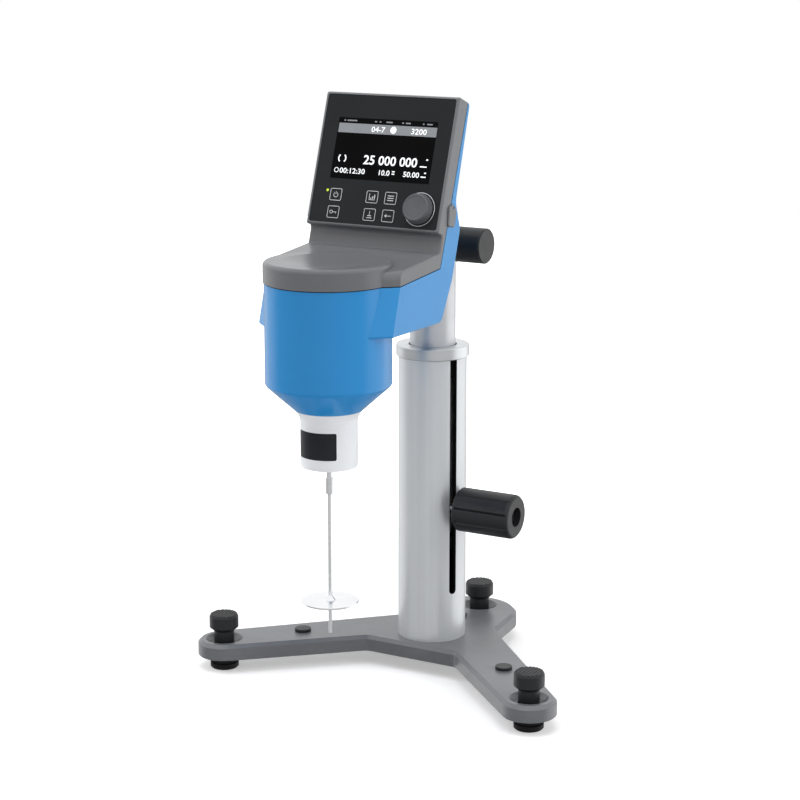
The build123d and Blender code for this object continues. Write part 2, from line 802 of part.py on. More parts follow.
def wing_cutter(d):
    """What lies before the wings: their front line run forwards and inwards from the side."""
    reach = Vector(-1, -math.tan(math.radians(wing_sweep)), 0) * wing_sweep_len
    y0, y1 = spindle_y - pot_r, wing_front_y - reach.Y
    z0, z1 = wing_bottom - edge_round, neck_z
    room = Pos((y0 + y1) / 2, (z0 + z1) / 2) * Rectangle(y1 - y0, z1 - z0) - side_face(d)
    return extrude(Pos(head_half_w - d, 0, 0) * (Plane.YZ * room), amount=reach.length, dir=reach)


def head_prism(d):
    """The casing without pot and lid: its wings' fronts slant forwards to the pot."""
    prism = extrude(Plane.YZ * long_side_face(d), amount=head_half_w - d, both=True)
    if not d:
        ends = prism.faces().sort_by(Axis.X)
        prism = fillet(ends[0].edges() + ends[-1].edges(), edge_round)
    cutter = wing_cutter(d)
    return prism - cutter - mirror(cutter, Plane.YZ)


def head_solid(d):
    """The head's outer form moved inwards by d: prism, round pot with cone, and round lid."""
    prism = head_prism(d)
    slope = math.atan2(pot_bottom - cone_bottom, pot_r - cone_r)
    drop = d / math.sin(slope) * (1 - math.cos(slope))
    floor = cone_bottom + (shell_floor_t if d > head_wall - 0.01 else 0)
    cone_in = cone_r - d / math.sin(slope) + (floor - cone_bottom) / math.tan(slope)
    pot = turned([(0, floor), (cone_in, floor), (pot_r - d, pot_bottom + drop), (pot_r - d, seam_z), (0, seam_z)],
                 0, spindle_y)
    lid = post(0, spindle_y, seam_z, lid_top - d, lid_r - d)
    if not d:
        lid = fillet(lid.edges().filter_by(GeomType.CIRCLE).sort_by(Axis.Z)[-1], lid_round)
        pot = fillet(pot.edges().filter_by(GeomType.CIRCLE).sort_by(Axis.Z)[1], pot_round)
    return prism + pot + lid


def seam_zone(above, shift):
    """Everything in front of and above the seam, or behind and below it, moved by a shift."""
    s = Vector(0.7, -0.7) * shift
    line = [(-400, seam_z + s.Y), (wing_front_y, seam_z + s.Y),
            (seam_corner[0] + s.X, seam_corner[1] + s.Y), (seam_top[0] + s.X, seam_top[1] + s.Y)]
    climb = (seam_top[0] - seam_corner[0]) / (seam_top[1] - seam_corner[1])
    line.append((line[-1][0] + 60 * climb, line[-1][1] + 60))
    far = [(-400, line[-1][1])] if above else [(100, line[-1][1]), (100, 100), (-400, 100)]
    zone = make_face(Polyline(*line, *far, close=True))
    return extrude(Plane.YZ * zone, amount=2 * head_half_w, both=True)


def boss_places():
    """Where the cover's long bosses stand behind the panel."""
    return [(side * cover_boss_u, v) for side in (-1, 1) for v in cover_boss_v]


def make_front_cover(skin):
    """The grey cover: deck with a shallow dish, neck, and the bezel round the panel."""
    cover = skin & seam_zone(True, 0)
    cover += post(0, spindle_y, lid_top - dish_top_depth - head_wall, lid_top - head_wall / 2, dish_top_r)
    cover -= dish_cutter()
    for u, v in boss_places():
        cover += panel_disc(u, v, -rear_depth(v), -head_wall / 2, cover_boss_r) & boss_zone()
    for u, v in board_holes():
        cover += panel_disc(u, v, -board_depth, -head_wall / 2, standoff_r)
    cover -= panel_block(0, panel_mid_v, -recess_floor, 1,
                         2 * foil_half_w + 2 * key_gap, foil_h + 2 * key_gap, 2.0)
    cover -= panel_block(0, screen_v, -board_depth, 0, screen_w + 1, screen_h + 1, 1.0)
    for u, v in key_places():
        cover -= panel_disc(u, v, -board_depth, 0, key_stem_r + 0.2)
    cover -= panel_disc(menu_u, menu_v, -board_depth, 0, menu_shaft_r + 0.9)
    for u, v in boss_places():
        depth = rear_depth(v)
        cover -= panel_disc(u, v, -depth, -depth + cover_screw_len + 2, cover_screw_r + seated)
    return cover


def dish_cutter():
    """A shallow lens, part of a large sphere, that leaves a dish in the round deck."""
    big = (dish_top_r ** 2 + dish_top_depth ** 2) / (2 * dish_top_depth)
    ball = Pos(0, spindle_y, lid_top - dish_top_depth + big) * Sphere(big)
    return ball & post(0, spindle_y, lid_top - 2 * dish_top_depth, lid_top + free, dish_top_r + free)


def boss_zone():
    """The room for the bosses: from the cover's wall to just short of the rear casing."""
    inner = rounded_outline(inset(head_side(), head_wall + running))
    room = extrude(Plane.YZ * inner, amount=head_half_w, both=True)
    return room + panel_block(0, panel_mid_v, -head_wall - 1, 0, 2 * foil_half_w, foil_h)


def on_slope(corner):
    """Height up the panel's slope, and depth behind the bezel's face, of a side view corner."""
    dy = corner[0] - bezel_bottom_y
    dz = corner[1] - bezel_bottom_z
    return dy * math.sin(tilt) + dz * math.cos(tilt), dy * math.cos(tilt) - dz * math.sin(tilt)


def rear_depth(v):
    """Depth of the rear casing's outer face behind the bezel's face at a height on the slope."""
    top, waist, low = [on_slope(corner) for corner in head_side()[7:10]]
    first, second = (low, waist) if v < waist[0] else (waist, top)
    share = (v - first[0]) / (second[0] - first[0])
    return first[1] + share * (second[1] - first[1])


def board_holes():
    """Standoffs that carry the circuit board, just above and below the screen's module."""
    across = board_w / 2 - standoff_r - free
    up = screen_h / 2 + screen_rim + standoff_r + 2
    return [(side * across, screen_v + end * up) for side in (-1, 1) for end in (-1, 1)]


def key_places():
    """Centres of the six keys, top row first."""
    return [(u, v) for v in key_rows for u in key_cols]


def make_body_shell(skin, outer):
    """The blue rear casing: pot with cone, wings, rod boss, socket bays and screw holes."""
    shell = skin & seam_zone(False, seam_gap)
    shell -= post(0, spindle_y, cone_bottom - 1, cone_bottom + shell_floor_t + 1, nose_spigot_r + seated)
    shell += bar_y(0, rod_z, boss_face_y - boss_depth, boss_face_y, boss_r)
    shell -= bar_y(0, rod_z, boss_face_y - rod_grip - 1, boss_face_y + 1, rod_r + seated)
    for x0, x1 in (bay_x, port_bay_x):
        lump = box(x0 - bay_wall, x1 + bay_wall, bay_floor_y - bay_wall, -60, bay_z[0] - bay_wall, bay_z[1] + bay_wall)
        shell += lump & outer
        shell -= box(x0, x1, bay_floor_y, -60, bay_z[0], bay_z[1])
    for x, z, w, h in socket_holes():
        shell -= box(x - w / 2, x + w / 2, bay_floor_y - 8, bay_floor_y + 1, z - h / 2, z + h / 2)
    for u, v in boss_places():
        depth = rear_depth(v)
        shell -= panel_disc(u, v, -depth - cover_screw_len, -depth + cover_screw_head_t, cover_screw_head_r + free)
        hole = panel_disc(u, v, -depth - cover_screw_len, -depth + cover_screw_len, cover_screw_r + running)
        shell -= hole & seam_zone(False, 0)
    return shell


def socket_holes():
    """Cut-outs in the bay floors as (x, z, width, height)."""
    mid_z = (bay_z[0] + bay_z[1]) / 2
    mid_left = (bay_x[0] + bay_x[1]) / 2
    left = port_bay_x[0] + 9
    return [
        (mid_left, mid_z, 2 * dc_r - 2, 2 * dc_r - 2),
        (left + 7, mid_z + 6.5, usb_w + 2 * seated, usb_h + 2 * seated),
        (left + 7, mid_z - 7.0, serial_w - 5 + 2 * seated, serial_h + 2 * seated),
    ]


def make_cover_seal():
    """The black cord seal between the casings, a little inside the seam."""
    band = head_solid(1.0) - head_solid(2.6)
    strip = band & seam_zone(False, 0) & seam_zone_gap()
    return strip


def seam_zone_gap():
    """The side of the gap that belongs to the cover, limited to the gap's width."""
    return seam_zone(True, seam_gap)


def make_cover_screws():
    """Screws from behind, heads sunk in the rear casing, threads in the cover's bosses."""
    screws = []
    for u, v in boss_places():
        depth = rear_depth(v)
        head = panel_disc(u, v, -depth + 0.1, -depth + cover_screw_head_t, cover_screw_head_r)
        shank = panel_disc(u, v, -depth + cover_screw_head_t, -depth + cover_screw_len, cover_screw_r)
        screws.append(head + shank)
    return Compound(screws)


def make_port_cover():
    """The small tab over the service port in the seam on the right-hand side."""
    tab = extrude(Plane.YZ * tab_outline(0.0), amount=cover_tab_proud + cover_tab_sunk - running)
    tab = Pos(head_half_w - cover_tab_sunk + running, 0, 0) * tab
    tab = chamfer(tab.faces().sort_by(Axis.X)[-1].edges(), cover_tab_bevel)
    y, z, _ = cover_tab[2]
    notch = Rot(30, 0, 0) * Box(2 * cover_tab_bevel, cover_tab_notch, cover_tab_notch)
    return tab - Pos(head_half_w + cover_tab_proud, y, z - 2 * cover_tab_notch / 3) * notch


def tab_outline(extra):
    """The tab's leaning outline in the side view, grown by a clearance."""
    return rounded_outline(inset(cover_tab, -extra) if extra else cover_tab)


def port_pocket():
    """The shallow pocket that the tab sits in."""
    return Pos(head_half_w - cover_tab_sunk, 0, 0) * extrude(Plane.YZ * tab_outline(0.3), amount=5)


# ---- head: sockets -----------------------------------------------------------------------------
def make_power_inlet():
    """A round low-voltage socket: flanged body with a keyed core at the bottom of its hollow."""
    x, z, w, h = socket_holes()[0]
    face = bay_floor_y + 2.0
    body = bar_y(x, z, bay_floor_y - 14, bay_floor_y, dc_r - 1 - seated)
    body += bar_y(x, z, bay_floor_y, face, dc_r)
    body -= bar_y(x, z, face - dc_hollow_depth, face + 1, dc_hollow_r)
    return body


def make_data_ports():
    """A square data socket above a nine-way serial socket."""
    _, usb, serial = socket_holes()
    x, z, w, h = usb
    back = bay_floor_y - 13
    face = bay_floor_y + 1.5
    usb_body = box(x - usb_w / 2, x + usb_w / 2, back, face, z - usb_h / 2, z + usb_h / 2)
    usb_body -= box(x - 4.1, x + 4.1, face - 9, face + 1, z - 3.9, z + 3.9)
    usb_body += box(x - 2.8, x + 2.8, back + 2, face - 1, z - 1.6, z + 1.6)
    x, z, w, h = serial
    width = serial_w - 5
    serial_body = box(x - width / 2, x + width / 2, back, face, z - serial_h / 2, z + serial_h / 2)
    serial_body = fillet(serial_body.edges().filter_by(Axis.Y), 2.2)
    for i in range(9):
        row = 1 if i < 5 else -1
        across = (i - 2) * 2.77 if i < 5 else (i - 6.5) * 2.77
        serial_body -= bar_y(x + across, z + row * 1.42, face - 4, face + 1, 0.55)
    return Compound([usb_body, serial_body])


# ---- head: panel -----------------------------------------------------------------------------
def make_panel_foil():
    """The dark front foil with windows for the screen, the keys and the menu knob's shaft."""
    front = -foil_sunk
    foil = panel_block(0, panel_mid_v, -recess_floor, front, 2 * foil_half_w, foil_h, 1.9)
    foil -= panel_block(0, screen_v, -recess_floor - 1, 1, screen_w + 0.1, screen_h + 0.1, 0.6)
    for u, v in key_places():
        foil -= panel_block(u, v, -recess_floor - 1, 1, key_size[0] + 2 * key_gap,
                            key_size[1] + 2 * key_gap, key_round + key_gap)
    return foil - panel_disc(menu_u, menu_v, -recess_floor - 1, 1, menu_shaft_r + 0.9)


def make_lcd_module():
    """The screen's glass, filling the foil's window, on its module behind the cover's wall."""
    glass = panel_block(0, screen_v, -head_wall, -foil_sunk, screen_w, screen_h, 0.5)
    return glass + panel_block(0, screen_v, -board_depth, -head_wall, screen_w + 2 * screen_rim, screen_h + 2 * screen_rim, 1.0)


def make_key(u, v):
    """One key: a thin cap flush with the foil, on a stem that reaches towards the board."""
    cap = panel_block(u, v, -foil_sunk - key_cap_t, -foil_sunk, *key_size, key_round)
    return cap + panel_disc(u, v, -board_depth + 0.7, -foil_sunk - key_cap_t, key_stem_r)


def make_encoder():
    """The rotary encoder's body with its bushing through the cover."""
    body = panel_block(menu_u, menu_v, -board_depth, -head_wall, 13.5, 13.5, 0.8)
    body += panel_disc(menu_u, menu_v, -head_wall, -foil_sunk, menu_shaft_r + 0.7)
    return body - panel_disc(menu_u, menu_v, -board_depth + 1, 1, menu_shaft_r + running)


def make_encoder_shaft():
    """The encoder's shaft: it is pressed with the knob and doesn't leave its bore."""
    return panel_disc(menu_u, menu_v, -board_depth + 2.2, menu_proud - 2.4, menu_shaft_r)


def make_menu_knob():
    """The menu knob: slightly tapered, a soft dished face, a bore for the shaft."""
    low = menu_gap - foil_sunk
    section = [(0, low), (menu_r, low), (menu_r, low + 1.2), (menu_face_r + 0.6, menu_proud - 1.4),
               (menu_face_r - 0.8, menu_proud), (menu_face_r - 2.4, menu_proud - 0.35), (0, menu_proud - 0.7)]
    knob = turned(section) - post(0, 0, 0, menu_proud - 2.2, menu_shaft_r + 0.04)
    return on_panel(menu_u, menu_v, 0, knob)


def make_main_board():
    """The circuit board behind the panel with its larger components on the rear."""
    v = panel_mid_v
    board = panel_block(0, v, -board_depth - board_t, -board_depth, board_w, board_h, 1.5)
    back = -board_depth - board_t
    for u, dv, w, h, t in ((-30, -36, 14, 14, 1.6), (0, -38, 10, 22, 2.4), (28, -34, 24, 12, 5.0), (-34, 20, 18, 18, 1.4)):
        board += panel_block(u, v + dv, back - t, back, w, h)
    return board


# ---- head: drive --------------------------------------------------------------------------------
def make_nose():
    """The white nose: bearing bore, flare up to the cone, spigot into the casing."""
    bore = bearing_r + seated
    floor = nose_bottom + nose_floor_t
    top = cone_bottom + shell_floor_t
    section = [(bearing_bore + 0.8, nose_bottom), (nose_r - nose_round, nose_bottom), (nose_r - 0.4, nose_bottom + 0.4),
               (nose_r, nose_bottom + nose_round), (nose_r, nose_flare_z), (nose_r + 0.7, nose_flare_z + 3.4),
               (nose_r + 2.3, nose_flare_z + 6.6), (cone_r, cone_bottom), (nose_spigot_r, cone_bottom),
               (nose_spigot_r, top), (bore, top), (bore, floor), (bearing_bore + 0.8, floor)]
    nose = turned(section, 0, spindle_y)
    for x, y in chassis_screw_places():
        nose -= post(x, y, top - 12, top + 1, 1.5 + seated)
    return nose


def chassis_screw_places():
    """Three screws that draw the chassis ring down on the nose."""
    r = (bearing_r + nose_spigot_r) / 2
    angles = [math.radians(30 + 120 * i) for i in range(3)]
    return [(r * math.cos(a), spindle_y + r * math.sin(a)) for a in angles]


def make_nose_bearings():
    """Two ball bearings and the sleeve that keeps them apart."""
    z0 = nose_bottom + nose_floor_t
    z3 = z0 + bearing_span
    spans = [(z0, z0 + bearing_t, bearing_bore + running), (z0 + bearing_t, z3 - bearing_t, bearing_r - 2),
             (z3 - bearing_t, z3, bearing_bore + running)]
    rings = []
    for low, high, bore in spans:
        ring = post(0, spindle_y, low, high, bearing_r)
        rings.append(ring - post(0, spindle_y, low - 1, high + 1, bore))
    return Compound(rings)


def make_chassis():
    """The drive's frame: ring on the nose, three posts, motor plate."""
    z0 = cone_bottom + shell_floor_t
    frame = post(0, spindle_y, z0, z0 + chassis_t, chassis_ring_r)
    frame += post(0, spindle_y, motor_plate_z, motor_plate_z + chassis_t, motor_plate_r)
    for i in range(3):
        a = math.radians(90 + 120 * i)
        frame += post(post_ring_r * math.cos(a), spindle_y + post_ring_r * math.sin(a), z0, motor_plate_z, post_r)
    frame -= post(0, spindle_y, z0 - 1, z0 + chassis_t + 1, bearing_r - 2)
    frame -= post(0, spindle_y, motor_plate_z - 1, motor_plate_z + chassis_t + 1, 11.2)
    for x, y in chassis_screw_places():
        frame -= post(x, y, z0 - 1, z0 + chassis_t + 1, 1.5 + running)
    return frame


def make_chassis_screws():
    """Three screws through the chassis ring into the nose."""
    z = cone_bottom + shell_floor_t + chassis_t
    screws = []
    for x, y in chassis_screw_places():
        screws.append(post(x, y, z, z + 2, 2.8) + post(x, y, z - chassis_t - 10, z, 1.5))
    return Compound(screws)


def make_motor():
    """The stepper motor: square body with cut corners and a round pilot in the plate."""
    z0 = motor_plate_z + chassis_t
    half = motor_side / 2
    body = box(-half, half, spindle_y - half, spindle_y + half, z0, z0 + motor_h)
    body = chamfer(body.edges().filter_by(Axis.Z), 4.0)
    body += post(0, spindle_y, z0 - 2, z0, 11.0)
    return body - post(0, spindle_y, z0 - 3, z0 + 20, 2.5 + running)


def make_drive_disc():
    """The motor's shaft with the drive disc, and the pin that holds the spring's outer end."""
    disc = post(0, spindle_y, drive_disc_z, drive_disc_z + 3, drive_disc_r)
    disc += post(0, spindle_y, drive_disc_z + 3, drive_disc_z + 11, 6.0)
    disc += post(0, spindle_y, drive_disc_z + 11, motor_plate_z + chassis_t + 19, 2.5)
    return disc + post(drive_disc_r - 3, spindle_y, spring_z, drive_disc_z, 1.2)


def make_torsion_spring():
    """A flat spiral hairspring between the drive disc's pin and the spindle shaft's collet."""
    inner = shaft_collet_r() + running
    outer = drive_disc_r - 3
    steps = 10
    count = int(spring_turns * steps)
    whole = 2 * math.pi * spring_turns - 1.6 / outer
    points = []
    for i in range(count + 1):
        a = whole * i / count
        r = inner + 0.6 + (outer - inner - 0.6) * i / count
        points.append((r * math.cos(a), r * math.sin(a)))
    path = Spline(*points)
    start = Plane(origin=path @ 0, z_dir=path % 0, x_dir=(0, 0, 1))
    strip = sweep(start * Rectangle(3.0, 0.35), path=path)
    collet = Pos(0, 0, 0) * (Cylinder(inner + 0.9, 3.0) - Cylinder(inner, 4.0))
    eye = Pos(outer, 0, 0) * (Cylinder(2.0, 3.0) - Cylinder(1.2 + seated, 4.0))
    return Pos(0, spindle_y, spring_z + 1.5) * (strip + collet + eye)


def shaft_collet_r():
    """The spindle shaft where the spring's collet sits."""
    return bearing_bore - 1.0


def make_spindle_shaft():
    """The shaft in the two bearings: stub for the coupling below, collet seat above."""
    z1 = nose_bottom - 1.0
    z3 = nose_bottom + nose_floor_t + bearing_span + 1
    shaft = post(0, spindle_y, spindle_top - 6, z1, stub_r)
    shaft += post(0, spindle_y, z1, z3, bearing_bore)
    return shaft + post(0, spindle_y, z3, shaft_top, shaft_collet_r())


def make_sensor():
    """The deflection sensor: a ring board on the chassis ring with its pick-up."""
    z0 = cone_bottom + shell_floor_t + chassis_t + 2 + 0.3
    ring = post(0, spindle_y, z0, z0 + 1.6, sensor_r) - post(0, spindle_y, z0 - 1, z0 + 3, 6.0)
    for i in range(3):
        a = math.radians(90 + 120 * i)
        x = post_ring_r * math.cos(a)
        y = spindle_y + post_ring_r * math.sin(a)
        ring -= post(x, y, z0 - 1, z0 + 3, post_r + 1.8)
    for i in range(3):
        a = math.radians(90 + 120 * i)
        r = sensor_r - 6
        ring += post(r * math.cos(a), spindle_y + r * math.sin(a), z0 - 2.3, z0, 1.6)
    return ring + box(10, 18, spindle_y - 4, spindle_y + 4, z0 + 1.6, z0 + 6)


# ---- spindle ----------------------------------------------------------------------------------
def make_coupling():
    """The threaded sleeve that joins the spindle to the drive shaft."""
    low = spindle_top - coupling_len
    sleeve = post(0, spindle_y, low, spindle_top, coupling_r)
    sleeve = chamfer(sleeve.edges().filter_by(GeomType.CIRCLE), 0.5)
    sleeve -= post(0, spindle_y, spindle_top - 6.2, spindle_top + 1, stub_r + seated)
    return sleeve - post(0, spindle_y, low - 1, low + 6, spindle_r + seated)


def make_disc_spindle():
    """The measuring spindle: slim shaft, flat disc with a double-cone hub, immersion groove."""
    top = spindle_top - coupling_len + 5.8
    disc_z = spindle_tip + disc_above_tip
    mid = disc_z + disc_t / 2
    mark = spindle_tip + mark_above_tip
    r = spindle_r
    section = [(0, spindle_tip), (r - 0.3, spindle_tip), (r, spindle_tip + 0.3), (r, mid - hub_half_h),
               (hub_r, disc_z), (disc_r - 0.3, disc_z), (disc_r, disc_z + 0.3), (disc_r, disc_z + disc_t - 0.3),
               (disc_r - 0.3, disc_z + disc_t), (hub_r, disc_z + disc_t), (r, mid + hub_half_h),
               (r, mark - 0.6), (r - 0.25, mark - 0.4), (r - 0.25, mark + 0.4), (r, mark + 0.6), (r, top), (0, top)]
    return turned(section, 0, spindle_y)


def make_mounting_rod():
    """The rod behind the head, with a flange against the casing's boss."""
    rod = bar_y(0, rod_z, boss_face_y - rod_grip, rod_end_y, rod_r)
    rod = chamfer(rod.edges().filter_by(GeomType.CIRCLE).sort_by(Axis.Y)[-1], 1.0)
    flange = bar_y(0, rod_z, boss_face_y, boss_face_y + rod_flange_t, rod_flange_r)
    return rod + chamfer(flange.edges().filter_by(GeomType.CIRCLE).sort_by(Axis.Y)[-1], 1.0)


# ---- build ----------------------------------------------------------------------------------------
def build_stand():
    nodes["base_plate"] = make_base_plate()
    nodes["column_bolts"] = make_column_bolts()
    nodes["column_plug"] = make_column_plug()
    nodes["outer_column"] = make_outer_column()
    nodes["column_collar"] = make_collar()
    nodes["guide_bush"] = make_guide_bush()
    nodes["foot_inserts"] = make_foot_inserts()
    nodes["plate_plugs"] = make_plate_plugs()
    nodes["rack"] = make_rack()
    for name, (x, y) in foot_places.items():
        nodes[f"foot_pad_{name}"] = make_foot_pad(x, y)
        nodes[f"foot_knob_{name}"] = make_foot_knob(x, y)


def build_lift():
    nodes["inner_tube"] = make_inner_tube()
    nodes["key_strips"] = make_key_strips()
    nodes["tube_ring"] = make_tube_ring()
    nodes["pinion_bush"] = make_pinion_bush()
    nodes["pinion_housing"] = make_pinion_housing()
    nodes["clamp_block"] = make_clamp_block()
    nodes["pinion"] = make_pinion()
    nodes["height_knob"] = make_height_knob()
    nodes["height_knob_screw"] = make_knob_screw()
    nodes["clamp_shoe"] = make_clamp_shoe()
    nodes["clamp_screw"] = make_clamp_screw()
    nodes["clamp_knob"] = make_clamp_knob()


def build_head():
    outer = head_solid(0)
    cavity = head_solid(head_wall)
    skin = outer - cavity
    pocket = port_pocket()
    nodes["front_cover"] = make_front_cover(skin) - pocket
    nodes["body_shell"] = make_body_shell(skin, outer) - pocket
    nodes["cover_seal"] = make_cover_seal() - pocket
    nodes["cover_screws"] = make_cover_screws()
    nodes["port_cover"] = make_port_cover()
    nodes["power_inlet"] = make_power_inlet()
    nodes["data_ports"] = make_data_ports()
    nodes["mounting_rod"] = make_mounting_rod()
    nodes["nose"] = make_nose()
    nodes["nose_bearings"] = make_nose_bearings()
    nodes["chassis"] = make_chassis()
    nodes["chassis_screws"] = make_chassis_screws()
    nodes["drive_motor"] = make_motor()
    nodes["deflection_sensor"] = make_sensor()
    nodes["drive_disc"] = make_drive_disc()
    nodes["torsion_spring"] = make_torsion_spring()
    nodes["spindle_shaft"] = make_spindle_shaft()
    nodes["spindle_coupling"] = make_coupling()
    nodes["disc_spindle"] = make_disc_spindle()


def build_panel():
    nodes["panel_foil"] = make_panel_foil()
    nodes["lcd_module"] = make_lcd_module()
    nodes["main_board"] = make_main_board()
    nodes["encoder"] = make_encoder()
    nodes["encoder_shaft"] = make_encoder_shaft()
    nodes["menu_knob"] = make_menu_knob()
    names = ("power", "graph", "menu", "lock", "sample", "back")
    for name, (u, v) in zip(names, key_places()):
        nodes[f"key_{name}"] = make_key(u, v)


build_stand()
build_lift()
build_head()
build_panel()
os.makedirs("parts", exist_ok=True)
for name, shape in nodes.items():
    export_step(Pos(0, frame_shift, 0) * shape, f"parts/{name}.step")
print(len(nodes), "nodes, shift", frame_shift)
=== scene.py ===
"""Looks of a rotational viscometer: paints, metals and plastics, the display's picture, the key
marks and the bare label on the nose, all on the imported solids.  Lengths are metres, +Z up."""
import json
import math

import bpy
import numpy as np
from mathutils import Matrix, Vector


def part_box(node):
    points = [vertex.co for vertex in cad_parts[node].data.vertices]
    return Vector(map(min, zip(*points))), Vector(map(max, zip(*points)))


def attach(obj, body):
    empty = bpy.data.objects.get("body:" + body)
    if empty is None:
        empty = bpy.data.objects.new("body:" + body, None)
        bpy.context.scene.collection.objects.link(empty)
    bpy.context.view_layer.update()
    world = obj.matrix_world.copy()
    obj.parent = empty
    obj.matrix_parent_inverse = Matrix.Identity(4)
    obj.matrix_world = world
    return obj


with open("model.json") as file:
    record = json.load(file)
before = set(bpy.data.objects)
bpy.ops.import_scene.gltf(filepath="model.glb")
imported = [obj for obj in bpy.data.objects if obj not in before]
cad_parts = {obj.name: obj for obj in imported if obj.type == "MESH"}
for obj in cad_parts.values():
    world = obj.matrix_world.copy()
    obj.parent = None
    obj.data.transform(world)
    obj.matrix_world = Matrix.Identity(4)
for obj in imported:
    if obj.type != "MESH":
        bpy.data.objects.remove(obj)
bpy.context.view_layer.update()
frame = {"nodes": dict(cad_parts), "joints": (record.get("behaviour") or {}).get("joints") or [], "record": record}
MM = 0.001


# ---- places taken from the frame ---------------------------------------------------------
def joint(name):
    """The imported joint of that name."""
    return next(j for j in frame["joints"] if j["name"] == name)


def middle(node):
    """Centre of a CAD node's box."""
    low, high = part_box(node)
    return (low + high) / 2


panel_normal = -Vector(joint("menu_press")["axis"]).normalized()
panel_right = Vector((1.0, 0.0, 0.0))
panel_up = panel_normal.cross(panel_right).normalized()
menu_u = 42.4 * MM        # the menu knob's axis on the panel, from the foot of its middle line
menu_v = 18.6 * MM
panel_origin = Vector(joint("menu_press")["pos_m"]) - panel_right * menu_u - panel_up * menu_v
spindle_axis = middle("disc_spindle")
column_axis = middle("outer_column")
foil_face = -0.3 * MM     # the foil lies behind the bezel's face
ink = 0.06 * MM           # how far a printed or lit mark stands out


# ---- sizes of the printed and lit marks ----------------------------------------------------
screen_left = -46.7 * MM
screen_right = 47.4 * MM
bar_low = 78.6 * MM
bar_high = 86.6 * MM
bar_inset = 0.4 * MM      # from the screen's sides
bar_round = 0.4 * MM
icon_round = 0.3 * MM
screen_icons = (          # left end, width, foot and height in millimetres
    (-42.0, 1.6, 88.4, 1.1), (-39.0, 9.5, 88.4, 1.1), (-12.4, 2.0, 88.4, 1.1), (-8.0, 1.6, 88.4, 1.1),
    (-1.5, 6.0, 88.4, 1.1), (13.4, 1.8, 88.4, 1.1), (17.0, 4.6, 88.4, 1.1), (33.0, 1.6, 88.4, 1.1),
    (37.0, 5.2, 88.4, 1.1),
)
unit_round = 0.2 * MM
unit_bars = (             # the same for the bars that stand for units
    (36.4, 6.4, 53.2, 1.0), (41.4, 1.8, 59.0, 1.2), (11.2, 2.6, 45.6, 1.0),
    (11.2, 2.6, 47.6, 1.0), (38.6, 4.8, 44.8, 1.0), (41.4, 1.8, 48.0, 1.1),
)
screen_figures = (        # digits, left foot and height in millimetres, stretch, added weight in metres
    ("25 000 000", -17.6, 53.0, 7.8, 1.05, 0.0002),
    ("00:12:30", -39.0, 44.5, 4.5, 1.16, 0.0001),
    ("10.0", -2.2, 44.5, 4.5, 1.08, 0.0001),
    ("50.00", 21.8, 44.5, 4.5, 1.12, 0.0001),
    ("04-7", -14.6, 80.2, 4.7, 1.1, 0.0001),
    ("3200", 23.0, 80.2, 4.7, 1.16, 0.0001),
)
nearly_round = 2 * math.pi - 0.02   # a ring as an arc that stays one closed plate
screen_arcs = (           # radius and width in millimetres, first and last angle, middle in millimetres
    (3.4, 1.1, -0.95, 0.95, -38.2, 56.8),
    (3.4, 1.1, math.pi - 0.95, math.pi + 0.95, -38.2, 56.8),
    (1.9, 0.6, 0.0, nearly_round, -42.0, 46.7),
)
disc_r = 2.9 * MM
disc_place = (6.3 * MM, 82.6 * MM)
disc_sides = 32
bar_corner = 0.12         # rounding of a plain bar, of its narrower side
digit_height = 0.729      # of a digit, per unit of type size
digit_steps = 3           # along each curve of a digit
key_outline = (11.1 * MM, 10.2 * MM, 1.3 * MM)   # width, height and corner radius
key_line = 0.42 * MM      # of the outline on a key
stroke = 0.45             # of a key's sign, in millimetres
half_stroke = stroke / 2
mark_line = stroke * MM
key_signs = {             # millimetres from the key's middle
    "power": {  # open ring with an upright bar
        "arcs": [(2.0, math.pi * 0.68, math.pi * 2.32, 0.0, -0.2)],
        "bars": [(-half_stroke, half_stroke, 0.1, 2.6)],
    },
    "lock": {  # a bow, a shank and a bit
        "arcs": [(1.3, 0.0, nearly_round, -1.9, 0.0)],
        "bars": [(-0.5, 3.2, -half_stroke, half_stroke), (2.3, 2.3 + stroke, -1.3, 0.0)],
    },
    "graph": {  # two axes and three posts
        "bars": [(-2.8, 3.0, -2.6, -2.6 + stroke), (-2.8, -2.8 + stroke, -2.6, 2.8)]
                + [(i * 1.7 - 1.4, i * 1.7 - 0.6, -1.7, i * 1.3 - 0.6) for i in range(3)],
    },
    "menu": {  # three level bars
        "bars": [(-2.9, 2.9, i * 1.9 - 0.3, i * 1.9 + 0.3) for i in (-1, 0, 1)],
    },
    "sample": {  # a stem over a short bar and a foot
        "bars": [(-half_stroke, half_stroke, -0.8, 2.9), (-1.9, 1.9, -1.2, -0.6), (-2.6, 2.6, -2.9, -2.4)],
    },
    "back": {  # a bar that ends in an arrow head to the left
        "bars": [(-2.2, 2.9, -half_stroke, half_stroke)],
        "outlines": [((-3.4, 0.0), (-1.4, -1.5), (-1.4, 1.5))],
    },
}
menu_ring_r = 14.1 * MM
menu_ring_w = 0.55 * MM
menu_ring_sides = 72
light_place = (-47.3 * MM, 29.2 * MM)
light_r = 1.15 * MM
light_rings = 6
light_sides = 24
light_top = math.pi / 2 * 0.92      # where the lens ends in a small flat
label_low = 228.2 * MM
label_high = 250.6 * MM
label_half = math.radians(46.5)
label_skin = 0.12 * MM
label_corner = 1.2 * MM
label_columns = 60
nose_r = 23.5 * MM


